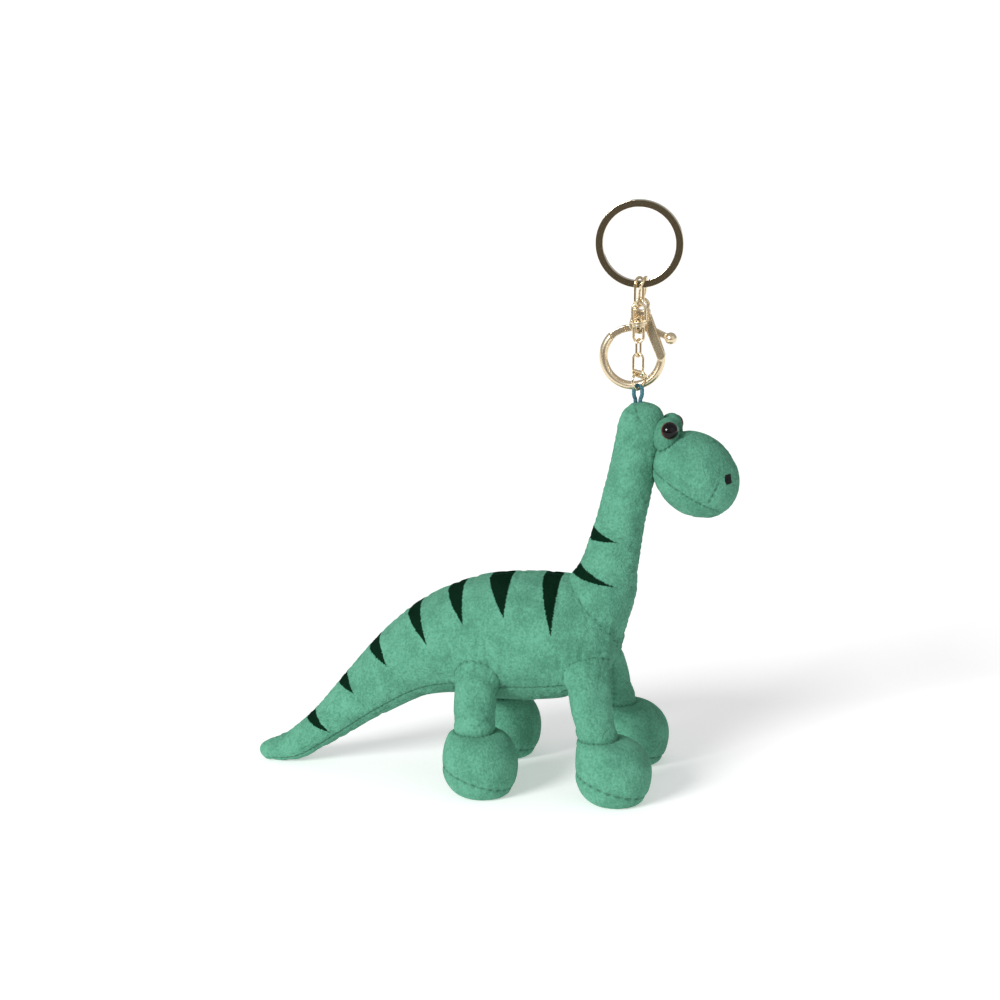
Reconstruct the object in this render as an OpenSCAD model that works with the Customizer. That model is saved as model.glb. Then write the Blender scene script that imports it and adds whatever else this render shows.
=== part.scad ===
// Plush long-necked dinosaur with a key ring, a chain with a swivel and a trigger clasp.
// Frame: +X towards the snout, +Z up, Y = 0 is the plane of symmetry of the toy.
// Origin: centre of the bounding box, on the surface that the four soles stand on.

/* [Plush body] */
// Thickness of the plush cover
cover_t = 1.0; // [0.8:0.1:1.3]
// Distance between the left and the right feet, centre to centre
track_w = 46; // [44:1:50]
// Diameter of a foot at its widest
foot_d = 26; // [24:1:28]
// Height of the ankle seams
ankle_h = 22.5; // [21:0.5:24]
// Height of the seam round the soles
sole_h = 6.5; // [5:0.5:8]
// Radius of the flat bottom of a sole
sole_flat_r = 7.5; // [6:0.5:9]
// Half angle of the belly panel, from the lowest line of the body
gusset_a = 48; // [40:2:56]

/* [Head] */
// Length of the muzzle from the brows to the chin
muzzle_l = 32.2; // [30:0.2:34]
// Width of the muzzle across the face
muzzle_w = 27; // [24:1:29]
// Thickness of the muzzle from its front to the throat
muzzle_h = 26.8; // [25:0.2:29]
// Diameter of an eye
eye_d = 6; // [5:0.5:6.5]
// How far an eye's dome stands out of its rim
eye_dome = 2.1; // [1.6:0.1:2.4]
// Side of a stitched nostril
nostril_w = 3.2; // [2.4:0.2:4]

/* [Ring and chain] */
// Outer diameter of the split ring
ring_d = 30; // [28:0.5:32]
// Radial width of the split ring's band
ring_band = 2.5; // [2:0.1:2.8]
// Thickness of the two turns of the split ring
ring_t = 2.0; // [1.6:0.1:2.2]
// Wire diameter of the two links on the split ring
top_wire = 0.95; // [0.8:0.05:1.0]
// Wire diameter of the chain links below the swivel
chain_wire = 0.85; // [0.7:0.05:0.9]
// Outer diameter of the jump ring on the cord loop
jump_d = 7.2; // [6.8:0.1:7.4]
// Diameter of the braided cord loop
cord_d = 1.5; // [1.3:0.1:1.6]

/* [Clasp] */
// Outer diameter of the clasp's round hook
clasp_d = 23; // [22:0.5:24]
// Diameter of the hook's bar
clasp_bar = 3.0; // [2.6:0.1:3.2]
// Thickness of the clasp's flat shoulder and neck
clasp_t = 3.2; // [3:0.1:3.6]
// Thickness of the lever inside the slot
lever_t = 1.1; // [0.9:0.1:1.3]
// Diameter of the lever's pin
pin_d = 1.1; // [1:0.1:1.2]

/* [Hidden] */
$fn = 48;
RIGHT = -1;  // the side of the toy at negative Y
LEFT = 1;

plush = [0.36, 0.68, 0.54];
plush_dark = [0.28, 0.58, 0.45];
gold = [0.86, 0.75, 0.5];
fibre = [0.95, 0.95, 0.93];

// Stations along the trunk and tail: centre x, centre z, half height, half width
trunk_path = [
    [-85.4, 2.6, 1.6, 1.6], [-84.2, 3.1, 3.0, 3.0], [-81.0, 4.0, 3.9, 4.0], [-76.5, 5.0, 4.8, 4.9],
    [-70.5, 7.6, 5.7, 5.7], [-59.5, 16.0, 7.1, 7.2], [-45, 28.8, 10.3, 10.2], [-30, 40.6, 14.2, 13.8],
    [-16, 47.6, 18.3, 17.2], [-2, 50.6, 21.6, 19.4], [12, 51.8, 22.6, 20.4], [26, 52.4, 21.6, 20.0],
    [36, 52.0, 17.8, 17.2], [42, 51.6, 11.4, 12.0], [44.4, 51.4, 5.5, 6.4], [45, 51.4, 1.4, 1.6]];
// Stations up the neck to the crown: centre x, centre z, half depth, half width
neck_path = [
    [33, 53, 12.4, 13.0], [36.6, 62.5, 12.3, 13.0], [39.6, 71, 11.6, 12.0], [41.6, 78.5, 9.9, 10.2],
    [43.4, 86, 9.1, 9.1], [45.4, 95, 8.4, 8.5], [47.4, 104, 8.2, 8.2], [49.2, 112.5, 8.0, 8.2],
    [50.7, 121, 7.8, 8.2], [52.0, 128, 7.8, 8.0], [52.7, 132.6, 6.8, 6.8], [52.9, 135.2, 4.6, 4.6],
    [53, 136.2, 1.4, 1.4]];
path_steps = 2;
trunk_n = 8;
// Points round one half of a closed ring
half_n = 7;

muzzle_c = [71.2, 0, 111.9];
// Fall of the muzzle's length below the level
muzzle_tilt = 44;
// The jaw seam falls from the neck towards the chin
jaw_from = [57.9, 113.4];
jaw_to = [78.7, 101.3];
brow_c = [61.2, 4.3, 127.3];
brow_r = 4.8;
eye_dir = [0.42, 0.87, 0.26];
eye_seat = 3.9;
eye_rim = 0.5;
stem_r = 1.2;
washer_r = 3.2;
washer_low = 1.5;   // along the eye's axis
washer_t = 0.9;
stem_low = 0.3;
sewn_play = 0.15;   // play of the eye and its washer in the pad
nostril_dir = [0.83, 0.5, 0.04];

// Legs: foot centre x, ankle centre x, then stations of z, centre x, centre y, radius
foot_mid_h = 11;
ankle_r = 7.0;
hind_foot_x = 0.1;
fore_foot_x = 47;
hind_leg = [[ankle_h, -2, track_w / 2 - 0.5, ankle_r], [30, -2.1, 21, 7.2], [37, -2.1, 18, 7.4],
    [43, -2, 14.4, 7.5], [50, -2, 9, 7.0]];
fore_leg = [[ankle_h, 41.4, track_w / 2 - 0.5, ankle_r], [30, 39.4, 21, 7.0], [37, 37.6, 18, 7.6],
    [43, 36, 14.4, 7.9], [50, 34, 9, 7.0]];

// Height and place of each wire of the chain, from the cord loop upwards
hang_x = 50.8;
gap = 0.08;
wire_r = top_wire / 2;
chain_r = chain_wire / 2;
jump_r = 0.45;
jump_ring_r = jump_d / 2 - jump_r;
jump_yaw = 62;
jump_low = 140.75;
jump_mid = jump_low + jump_ring_r;
lower_l = 7.9;
lower_w = 4.5;
lower_yaw = -15;
lower_low = jump_mid + jump_ring_r - jump_r - gap - chain_r;
lower_top = lower_low + lower_l - chain_wire;
upper_l = 6.8;
upper_w = 3.7;
upper_yaw = 68;
upper_low = lower_top - 2 * chain_r - gap;
upper_top = upper_low + upper_l - chain_wire;
spare_l = 6.0;
spare_w = 3.2;
spare_turn = -28;   // where it hangs on the jump ring, from the top
spare_droop = 12;

cage_r = 0.5;
cage_low_r = 1.7;
swivel_low = upper_top - chain_r - gap - cage_r;
plate_t = 0.9;
plate_h = 162.5;    // underside of the lower plate
rivet_r = 0.75;
rivet_head_r = 1.15;
rivet_head_t = 0.8;
run = 0.05;         // radial clearance of a turning fit
cage_high_r = 2.25;
cage_top_r = 0.55;

front_l = 10.9;
link_w = 5.6;
front_yaw = 62;
ring_c = 190.8;
ring_low = ring_c - ring_d / 2 + ring_band / 2;
front_top = ring_low + 2.3;
front_low = front_top - front_l + top_wire;
swivel_top = front_low + wire_r + gap + cage_top_r;

// The rear link leans back through the middle of the split ring's band to the clasp's eye
rear_w = 6.0;
rear_yaw = 78;
rear_over = 2.5;    // from the band's middle up to the wire's centre
band_r = ring_d / 2 - ring_band / 2;
rear_band = [hang_x + 1.4, 0, ring_c - sqrt(pow(band_r, 2) - pow(1.4, 2))];
rear_end = [hang_x, 6.0, 170.4];
rear_dir = (rear_end - rear_band) / norm(rear_end - rear_band);
rear_reach = norm(rear_end - rear_band) + rear_over;

eye_wire_r = 0.7;
eye_ring_r = 2.3;
// Middle of the bar at the top of the clasp's eye
clasp_hang = rear_end - rear_dir * (wire_r + 0.1 + eye_wire_r);
hook_r = clasp_d / 2 - clasp_bar / 2;
hook_c = [-3.0, -20.1];        // from the clasp's hang point, as the rest of its places
pivot = [-1.5, -8.6];
hook_tip_a = 132;
gate_r = 10.0;      // reach of the gate from the pivot
gate_gap = 0.12;
slot_t = 2.0;
thumb = [10.2, -13.4];
thumb_r = 2.1;
lever_hub_r = 1.9;

// Catmull-Rom point between b and c
function cr(a, b, c, d, t) = 0.5 * (2 * b + (c - a) * t + (2 * a - 5 * b + 4 * c - d) * t * t
    + (3 * b - a - 3 * c + d) * t * t * t);
// A finer path through all stations of p
function smooth(p, n) = [for (i = [0:len(p) - 2]) for (k = [0:n - 1])
    cr(p[max(i - 1, 0)], p[i], p[i + 1], p[min(i + 2, len(p) - 1)], k / n), p[len(p) - 1]];
// The same path, t smaller all round and t shorter at each end
function shrunk(p, t) = let (m = p[floor(len(p) / 2)], reach = norm([p[0][0] - m[0], p[0][1] - m[1]]))
    [for (s = p) [m[0] + (s[0] - m[0]) * (1 - t / reach), m[1] + (s[1] - m[1]) * (1 - t / reach),
        max(s[2] - t, 0.25), max(s[3] - t, 0.25)]];
// Unit direction of an XZ path at station i
function along(p, i) = let (a = p[max(i - 1, 0)], b = p[min(i + 1, len(p) - 1)], d = [b[0] - a[0], b[1] - a[1]])
    d / norm(d);
// Arcs of rings square to an XZ path; angle 0 is the underside, side is RIGHT or LEFT
function arcs(p, a0, a1, n, side) = [for (i = [0:len(p) - 1]) let (d = along(p, i))
    [for (k = [0:n]) let (a = a0 + (a1 - a0) * k / n)
        [p[i][0] + d[1] * p[i][2] * cos(a), side * p[i][3] * sin(a), p[i][1] - d[0] * p[i][2] * cos(a)]]];
// Closed level rings of a limb from its stations of z, x, y, radius
function rounds(p, n, side) = [for (s = p) [for (k = [0:n - 1]) let (a = 360 * k / n)
    [s[1] + s[3] * cos(a), side * s[2] + s[3] * sin(a), s[0]]]];

// Faces between two neighbouring rows of points; a strip of w points a row starting at o
function strip(rows, w, o, flip) = [for (i = [0:rows - 2]) for (k = [0:w - 2])
    let (a = o + i * w + k, b = a + 1, c = a + w, d = c + 1)
    each flip ? [[a, c, b], [b, c, d]] : [[a, b, c], [b, d, c]]];

// A curved panel between an outer and an inner net of points
module panel(outer, inner) {
    rows = len(outer);
    w = len(outer[0]);
    m = rows * w;
    pts = concat([for (r = outer) each r], [for (r = inner) each r]);
    ends = [for (i = [0, rows - 1]) for (k = [0:w - 2])
        let (a = i * w + k, b = a + 1, c = a + m, d = b + m)
        each i == 0 ? [[a, c, b], [b, c, d]] : [[a, b, c], [b, d, c]]];
    edges = [for (k = [0, w - 1]) for (i = [0:rows - 2])
        let (a = i * w + k, b = a + w, c = a + m, d = b + m)
        each k > 0 ? [[a, c, b], [b, c, d]] : [[a, b, c], [b, d, c]]];
    polyhedron(pts, concat(strip(rows, w, 0, false), strip(rows, w, m, true), ends, edges), convexity = 6);
}

// A solid through closed rings of points, with flat ends
module lofted(rings, flip = false) {
    rows = len(rings);
    w = len(rings[0]);
    sides = [for (i = [0:rows - 2]) for (k = [0:w - 1])
        let (a = i * w + k, b = i * w + (k + 1) % w, c = a + w, d = b + w)
        each flip ? [[a, c, b], [b, c, d]] : [[a, b, c], [b, d, c]]];
    low = [for (k = [1:w - 2]) flip ? [0, k, k + 1] : [0, k + 1, k]];
    m = (rows - 1) * w;
    high = [for (k = [1:w - 2]) flip ? [m, m + k + 1, m + k] : [m, m + k, m + k + 1]];
    polyhedron([for (r = rings) each r], concat(sides, low, high), convexity = 6);
}

// Cut soft shells are kept as one mesh
module sewn() { resize([0, 0, 0]) children(); }

trunk_out = smooth(trunk_path, path_steps);
trunk_in = shrunk(trunk_out, cover_t);
neck_out = smooth(neck_path, path_steps);
neck_in = shrunk(neck_out, cover_t);

// Arcs of one side between two angles, always running on round the ring
function side_arcs(p, a0, n, side) = side == RIGHT ? arcs(p, a0, 180, n, RIGHT) : arcs(p, 180, a0, n, LEFT);
function belly_arcs(p) = arcs(p, -gusset_a, gusset_a, 8, RIGHT);
// Whole rings, made of the same points as the panels
function ring_points(p, a0, n) = let (r = side_arcs(p, a0, n, RIGHT), l = side_arcs(p, a0, n, LEFT), b = belly_arcs(p))
    [for (i = [0:len(p) - 1]) concat(a0 == 0 ? [r[i][0]] : b[i], [for (k = [1:n]) r[i][k]],
        [for (k = [1:n - 1]) l[i][k]])];

module trunk_solid() { lofted(ring_points(trunk_out, gusset_a, trunk_n)); }
module neck_solid() { lofted(ring_points(neck_out, 0, 2 * half_n)); }
module muzzle_solid(t = 0) {
    translate(muzzle_c) rotate([0, muzzle_tilt, 0])
        scale([muzzle_l / 2 - t, muzzle_w / 2 - t, muzzle_h / 2 - t]) sphere(r = 1, $fn = 28);
}

module flank(side) {
    color(plush) panel(side_arcs(trunk_out, gusset_a, trunk_n, side), side_arcs(trunk_in, gusset_a, trunk_n, side));
}
module right_flank() { flank(RIGHT); }
module left_flank() { flank(LEFT); }
module belly_gusset() {
    color(plush_dark) panel(belly_arcs(trunk_out), belly_arcs(trunk_in));
}
module trunk_fill() { color(fibre) lofted(ring_points(trunk_in, gusset_a, trunk_n)); }

// What is sewn into the crown and the muzzle stays clear of the covers and the fibre
module crown_openings() { cord_body(); }

module neck_half(side) {
    color(plush) sewn() difference() {
        panel(side_arcs(neck_out, 0, 2 * half_n, side), side_arcs(neck_in, 0, 2 * half_n, side));
        trunk_solid();
        crown_openings();
    }
}
module neck_right() { neck_half(RIGHT); }
module neck_left() { neck_half(LEFT); }
module neck_fill() {
    color(fibre) sewn() difference() {
        lofted(ring_points(neck_in, 0, 2 * half_n));
        trunk_solid();
        crown_openings();
    }
}

module jaw_side() {
    fall = atan2(jaw_to[1] - jaw_from[1], jaw_to[0] - jaw_from[0]);
    translate([jaw_from[0], 0, jaw_from[1]]) rotate([0, -fall, 0]) translate([-60, -60, -120]) cube(120);
}
module muzzle_shell() {
    difference() { muzzle_solid(); muzzle_solid(cover_t); neck_solid(); }
}
module muzzle_upper() { color(plush) sewn() difference() { muzzle_shell(); jaw_side(); } }
module lower_jaw() { color(plush_dark) sewn() intersection() { muzzle_shell(); jaw_side(); } }
module muzzle_fill() { color(fibre) sewn() difference() { muzzle_solid(cover_t); neck_solid(); } }

// Stands on a brow pad with Z along the eye's axis
module at_eye(side) {
    translate([brow_c[0], side * brow_c[1], brow_c[2]])
        rotate([0, acos(eye_dir[2] / norm(eye_dir)), atan2(side * eye_dir[1], eye_dir[0])]) children();
}
module eye_body() {
    cap_r = (pow(eye_d / 2, 2) + pow(eye_dome, 2)) / (2 * eye_dome);
    translate([0, 0, eye_seat]) cylinder(d = eye_d, h = eye_rim);
    intersection() {
        translate([0, 0, eye_seat + eye_rim + eye_dome - cap_r]) sphere(r = cap_r);
        translate([0, 0, eye_seat + eye_rim]) cylinder(d = eye_d, h = eye_dome + 1);
    }
    translate([0, 0, stem_low]) cylinder(r = stem_r, h = eye_seat);
}
module washer_body() {
    translate([0, 0, washer_low]) difference() {
        cylinder(r = washer_r, h = washer_t);
        translate([0, 0, -1]) cylinder(r = stem_r, h = 3);
    }
}
module brow(side) {
    color(plush_dark) sewn() difference() {
        translate([brow_c[0], side * brow_c[1], brow_c[2]]) {
            sphere(r = brow_r, $fn = 20);
            translate([-0.8, 0, -4]) sphere(r = brow_r, $fn = 20);
        }
        neck_solid();
        muzzle_solid();
        at_eye(side) {
            translate([0, 0, eye_seat - 0.05]) cylinder(d = eye_d + 2 * sewn_play, h = 4);
            translate([0, 0, stem_low - sewn_play]) cylinder(r = stem_r + sewn_play, h = eye_seat);
            translate([0, 0, washer_low - sewn_play]) cylinder(r = washer_r + sewn_play, h = washer_t + 2 * sewn_play);
        }
        translate([0, side == RIGHT ? 10 : -10, 0]) translate([62, 0, 128]) cube([40, 20, 40], center = true);
    }
}
module brow_right() { brow(RIGHT); }
module brow_left() { brow(LEFT); }
module eye_right() { color([0.05, 0.04, 0.05]) at_eye(RIGHT) eye_body(); }
module eye_left() { color([0.05, 0.04, 0.05]) at_eye(LEFT) eye_body(); }
module eye_washer_right() { color("white") at_eye(RIGHT) washer_body(); }
module eye_washer_left() { color("white") at_eye(LEFT) washer_body(); }

module nostril(side) {
    color([0.06, 0.08, 0.07]) sewn() difference() {
        intersection() {
            muzzle_solid(-0.35);
            translate(muzzle_c) rotate([0, acos(nostril_dir[2] / norm(nostril_dir)),
                atan2(side * nostril_dir[1], nostril_dir[0])])
                translate([0, 0, 14]) cube([nostril_w * 0.8, nostril_w, 12], center = true);
        }
        muzzle_solid();
    }
}
module nostril_right() { nostril(RIGHT); }
module nostril_left() { nostril(LEFT); }

// One foot as level stations of z, x, y, radius; a runs from 0 at the floor to 180 at the ankle seam
function foot_at(a, foot_x, leg, t) = let (up = a > 90, base_r = up ? ankle_r : sole_flat_r,
    h = foot_mid_h - (up ? ankle_h - foot_mid_h : foot_mid_h) * cos(a),
    shift = up ? 1 - sin(a) : 0)
    [h + t * cos(a), foot_x + (leg[0][1] - foot_x) * shift, track_w / 2 + (leg[0][2] - track_w / 2) * shift,
        base_r + (foot_d / 2 - base_r) * sin(a) - t * sin(a)];
sole_a = acos(1 - sole_h / foot_mid_h);
sole_angles = [for (k = [0:6]) sole_a * k / 6];
upper_angles = [for (k = [0:9]) sole_a + (180 - sole_a) * k / 9];
foot_n = 18;
seam_gap = 0.12;
// The foot's lowest ring stays just clear of the sole
function lifted(s, a) = a == sole_a ? [s[0] + seam_gap, s[1], s[2], s[3]] : s;

module sole(side, foot_x) {
    out = [for (a = sole_angles) foot_at(a, 0, hind_leg, 0)];
    inn = [for (a = sole_angles) foot_at(a, 0, hind_leg, cover_t)];
    color(plush_dark) translate([foot_x, side * track_w / 2, 0]) rotate_extrude()
        polygon(concat([[0, 0]], [for (s = out) [s[3], s[0]]], [for (k = [6:-1:0]) [inn[k][3], inn[k][0]]],
            [[0, cover_t]]));
}
module foot(side, foot_x, leg) {
    out = rounds([for (a = upper_angles) lifted(foot_at(a, foot_x, leg, 0), a)], foot_n, side);
    inn = rounds([for (a = upper_angles) lifted(foot_at(a, foot_x, leg, cover_t), a)], foot_n, side);
    color(plush) ring_shell(out, inn);
}
// A tube wall between closed outer and inner rings
module ring_shell(outer, inner) {
    rows = len(outer);
    w = len(outer[0]);
    m = rows * w;
    pts = concat([for (r = outer) each r], [for (r = inner) each r]);
    wall = [for (i = [0:rows - 2]) for (k = [0:w - 1])
        let (a = i * w + k, b = i * w + (k + 1) % w, c = a + w, d = b + w)
        each [[a, c, b], [b, c, d], [a + m, b + m, c + m], [b + m, d + m, c + m]]];
    ends = [for (i = [0, rows - 1]) for (k = [0:w - 1])
        let (a = i * w + k, b = i * w + (k + 1) % w, c = a + m, d = b + m)
        each i == 0 ? [[a, b, c], [b, d, c]] : [[a, c, b], [b, c, d]]];
    polyhedron(pts, concat(wall, ends), convexity = 6);
}
module leg(side, path) {
    fine = smooth(path, 2);
    color(plush) sewn() difference() {
        ring_shell(rounds(fine, foot_n, side), rounds([for (s = fine) [s[0], s[1], s[2], s[3] - cover_t]],
            foot_n, side));
        trunk_solid();
    }
}
// Fibre of a foot and its leg, up to where the body begins
module limb_fill(side, foot_x, path) {
    body_low = 34;
    foot_part = [for (a = concat(sole_angles, upper_angles)) foot_at(a, foot_x, path, cover_t + 0.02)];
    leg_part = [for (s = smooth(path, 2)) if (s[0] < body_low) [s[0], s[1], s[2], s[3] - cover_t]];
    slim = [for (s = concat(foot_part, leg_part)) [s[0], s[1], s[2], s[3] - 0.1]];
    color(fibre) lofted(rounds(slim, foot_n, side), true);
}
module leg_hind_right() { leg(RIGHT, hind_leg); }
module leg_hind_left() { leg(LEFT, hind_leg); }
module leg_fore_right() { leg(RIGHT, fore_leg); }
module leg_fore_left() { leg(LEFT, fore_leg); }
module foot_hind_right() { foot(RIGHT, hind_foot_x, hind_leg); }
module foot_hind_left() { foot(LEFT, hind_foot_x, hind_leg); }
module foot_fore_right() { foot(RIGHT, fore_foot_x, fore_leg); }
module foot_fore_left() { foot(LEFT, fore_foot_x, fore_leg); }
module sole_hind_right() { sole(RIGHT, hind_foot_x); }
module sole_hind_left() { sole(LEFT, hind_foot_x); }
module sole_fore_right() { sole(RIGHT, fore_foot_x); }
module sole_fore_left() { sole(LEFT, fore_foot_x); }
module fill_hind_right() { limb_fill(RIGHT, hind_foot_x, hind_leg); }
module fill_hind_left() { limb_fill(LEFT, hind_foot_x, hind_leg); }
module fill_fore_right() { limb_fill(RIGHT, fore_foot_x, fore_leg); }
module fill_fore_left() { limb_fill(LEFT, fore_foot_x, fore_leg); }

// Round wire bent to an arc in the XZ plane; angles from +X towards +Z
module wire_arc(bend_r, r, a0, a1) {
    rotate([90, 0, 0]) rotate_extrude(angle = a1 - a0, start = a0) translate([bend_r, 0]) circle(r = r);
}
// Oval link standing in the XZ plane, with its lower end's wire centre at the origin
module oval_link(l, w, r) {
    bend_r = w / 2 - r;
    straight = l - w;
    translate([0, 0, bend_r]) wire_arc(bend_r, r, 180, 360);
    translate([0, 0, bend_r + straight]) wire_arc(bend_r, r, 0, 180);
    for (s = [-1, 1]) translate([s * bend_r, 0, bend_r]) cylinder(r = r, h = straight);
}
module at_hang(z, yaw = 0) { translate([hang_x, 0, z]) rotate([0, 0, yaw]) children(); }

// Braided cord: a loop over the jump ring, both ends sewn into the crown
cord_bend_r = 1.42;
cord_in_z = 131;
module cord_body() {
    at_hang(jump_low) {
        wire_arc(cord_bend_r, cord_d / 2, 0, 180);
        for (s = [-1, 1]) translate([s * cord_bend_r, 0, cord_in_z - jump_low])
            cylinder(d = cord_d, h = jump_low - cord_in_z);
    }
}
module cord_loop() { color([0.1, 0.42, 0.48]) cord_body(); }

module jump_ring() {
    color(gold) at_hang(jump_mid, jump_yaw) wire_arc(jump_ring_r, jump_r, 0, 360);
}
module chain_link_lower() { color(gold) at_hang(lower_low, lower_yaw) oval_link(lower_l, lower_w, chain_r); }
module chain_link_upper() { color(gold) at_hang(upper_low, upper_yaw) oval_link(upper_l, upper_w, chain_r); }
// The spare link lies over the jump ring's wire, beside the chain
module spare_link() {
    color(gold) at_hang(jump_mid, jump_yaw) rotate([0, spare_turn, 0]) translate([0, 0, jump_ring_r])
        rotate([90 + spare_droop, 0, 0]) rotate([0, 0, 90]) translate([0, 0, -jump_r - chain_r - 0.1])
        oval_link(spare_l, spare_w, chain_r);
}

module swivel_lower() {
    color(gold) at_hang(0) difference() {
        union() {
            translate([0, 0, swivel_low + cage_low_r]) wire_arc(cage_low_r, cage_r, 180, 360);
            for (s = [-1, 1]) translate([s * cage_low_r, 0, swivel_low + cage_low_r])
                cylinder(r = cage_r, h = plate_h + plate_t / 2 - swivel_low - cage_low_r);
            translate([0, 0, plate_h]) cylinder(r = cage_low_r + cage_r + 0.1, h = plate_t);
        }
        translate([0, 0, plate_h - 1]) cylinder(r = rivet_r, h = plate_t + 2);
    }
}
module swivel_rivet() {
    upper_plate = plate_h + plate_t + gap;
    color(gold) at_hang(0) {
        translate([0, 0, plate_h - rivet_head_t]) cylinder(r = rivet_head_r, h = rivet_head_t);
        translate([0, 0, plate_h - rivet_head_t]) cylinder(r = rivet_r, h = upper_plate + plate_t - plate_h + 1.2);
        translate([0, 0, upper_plate + plate_t + gap]) cylinder(r = rivet_head_r, h = rivet_head_t);
    }
}
module swivel_upper() {
    upper_plate = plate_h + plate_t + gap;
    color(gold) at_hang(0) difference() {
        union() {
            translate([0, 0, swivel_top - cage_high_r]) wire_arc(cage_high_r, cage_top_r, 0, 180);
            for (s = [-1, 1]) translate([s * cage_high_r, 0, upper_plate + plate_t / 2])
                cylinder(r = cage_top_r, h = swivel_top - cage_high_r - upper_plate - plate_t / 2);
            translate([0, 0, upper_plate]) cylinder(r = cage_high_r + cage_top_r + 0.1, h = plate_t);
        }
        translate([0, 0, upper_plate - 1]) cylinder(r = rivet_r + run, h = plate_t + 2);
    }
}

module front_ring_link() { color(gold) at_hang(front_low, front_yaw) oval_link(front_l, link_w, wire_r); }
module rear_ring_link() {
    color(gold) translate(rear_band - rear_dir * rear_over)
        rotate([0, -atan2(rear_dir[0], -rear_dir[2]), 0]) rotate([asin(rear_dir[1]), 0, 0]) rotate([0, 0, rear_yaw])
        translate([0, 0, -rear_reach]) oval_link(rear_reach + top_wire, rear_w, wire_r);
}
// Two flat turns that join where the wire steps from one to the other
module split_ring() {
    slit = 0.06;
    step_a = 24;
    mid_r = ring_d / 2 - ring_band / 2;
    color(gold) at_hang(ring_c) rotate([90, 0, 0]) {
        for (s = [-1, 1]) rotate_extrude(angle = 360 - step_a, start = 90 + step_a / 2)
            translate([mid_r - ring_band / 2, s > 0 ? slit / 2 : -ring_t / 2])
                square([ring_band, ring_t / 2 - slit / 2]);
        rotate_extrude(angle = step_a, start = 90 - step_a / 2)
            translate([mid_r - ring_band / 2, -ring_t / 2]) square([ring_band, ring_t]);
    }
}

// Puts X-Z drawings of the clasp upright, with the centre of its eye's top bar at the origin
module at_clasp() { translate(clasp_hang) children(); }
// A flat piece in the XZ plane, centred on its thickness
module flat(t) { rotate([90, 0, 0]) linear_extrude(t, center = true) children(); }
function polar(c, r, a) = [c[0] + r * cos(a), c[1] + r * sin(a)];

module clasp_outline() {
    shoulder_low = polar(hook_c, hook_r, 4);
    difference() {
        union() {
            hull() {
                translate([0, -5.2]) circle(r = 3.2);
                translate([-0.6, -8.6]) circle(r = 3.4);
            }
            hull() {
                translate([1.4, -5.4]) circle(r = 1.8);
                translate(shoulder_low) circle(d = clasp_bar);
            }
        }
        translate([0, -eye_ring_r]) circle(r = eye_ring_r - eye_wire_r);
    }
}
module clasp_body() {
    color(gold) at_clasp() difference() {
        union() {
            translate([0, 0, -eye_ring_r]) wire_arc(eye_ring_r, eye_wire_r, 0, 360);
            intersection() {
                flat(clasp_t) clasp_outline();
                translate([-20, -10, -24]) cube([40, 20, 24 - eye_ring_r - 1]);
            }
            difference() {
                translate([hook_c[0], 0, hook_c[1]]) wire_arc(hook_r, clasp_bar / 2, hook_tip_a, 364);
                // way of the gate past the hook's tip
                at_pivot() cylinder(r = gate_r + gate_gap, h = 2 * clasp_bar, center = true);
            }
        }
        // slot for the lever, open to the hook and to the thumb side
        translate([-6.5, -slot_t / 2, -17.5]) cube([26, slot_t, 12.2]);
        at_pivot() cylinder(d = pin_d, h = 10, center = true);
    }
}
// Stands on the lever's pivot with Z along its pin
module at_pivot() { translate([pivot[0], 0, pivot[1]]) rotate([90, 0, 0]) children(); }

// The gate carries on the hook's round line
module gate_outline() {
    intersection() {
        translate(hook_c) difference() {
            circle(r = hook_r + clasp_bar / 2 - 0.3, $fn = 96);
            circle(r = hook_r - clasp_bar / 2 + 0.3, $fn = 96);
        }
        translate(pivot) circle(r = gate_r, $fn = 96);
        translate([-20, pivot[1] - 9]) square([20 + pivot[0] - 1, 12]);
    }
}
module clasp_lever() {
    root_r = 4.2;
    color(gold) at_clasp() {
        difference() {
            union() {
                flat(lever_t) {
                    gate_outline();
                    translate(pivot) circle(r = lever_hub_r);
                    hull() {
                        translate(pivot + [0, 0.2]) circle(r = 1.4);
                        translate(thumb) circle(r = 1.0);
                    }
                }
                difference() {
                    flat(2.4) gate_outline();
                    at_pivot() cylinder(r = root_r, h = 10, center = true);
                }
                translate([thumb[0], 0, thumb[1]]) sphere(r = thumb_r);
            }
            at_pivot() cylinder(d = pin_d + 2 * run, h = 10, center = true);
        }
    }
}
module clasp_pin() { color(gold) at_clasp() at_pivot() cylinder(d = pin_d, h = clasp_t + 0.3, center = true); }
// One coil beside the lever, with a leg under the neck's roof and a leg along the gate
module clasp_spring() {
    spring_wire = 0.3;
    coil_r = pin_d / 2 + spring_wire;
    color([0.7, 0.7, 0.72]) at_clasp() at_pivot() translate([0, 0, lever_t / 2 + spring_wire / 2 + 0.06]) {
        rotate_extrude() translate([coil_r, 0]) circle(d = spring_wire);
        for (turn = [75, 205]) rotate([0, 0, turn]) translate([coil_r, 0, 0]) rotate([0, 90, 0])
            cylinder(d = spring_wire, h = 1.8);
    }
}

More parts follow.
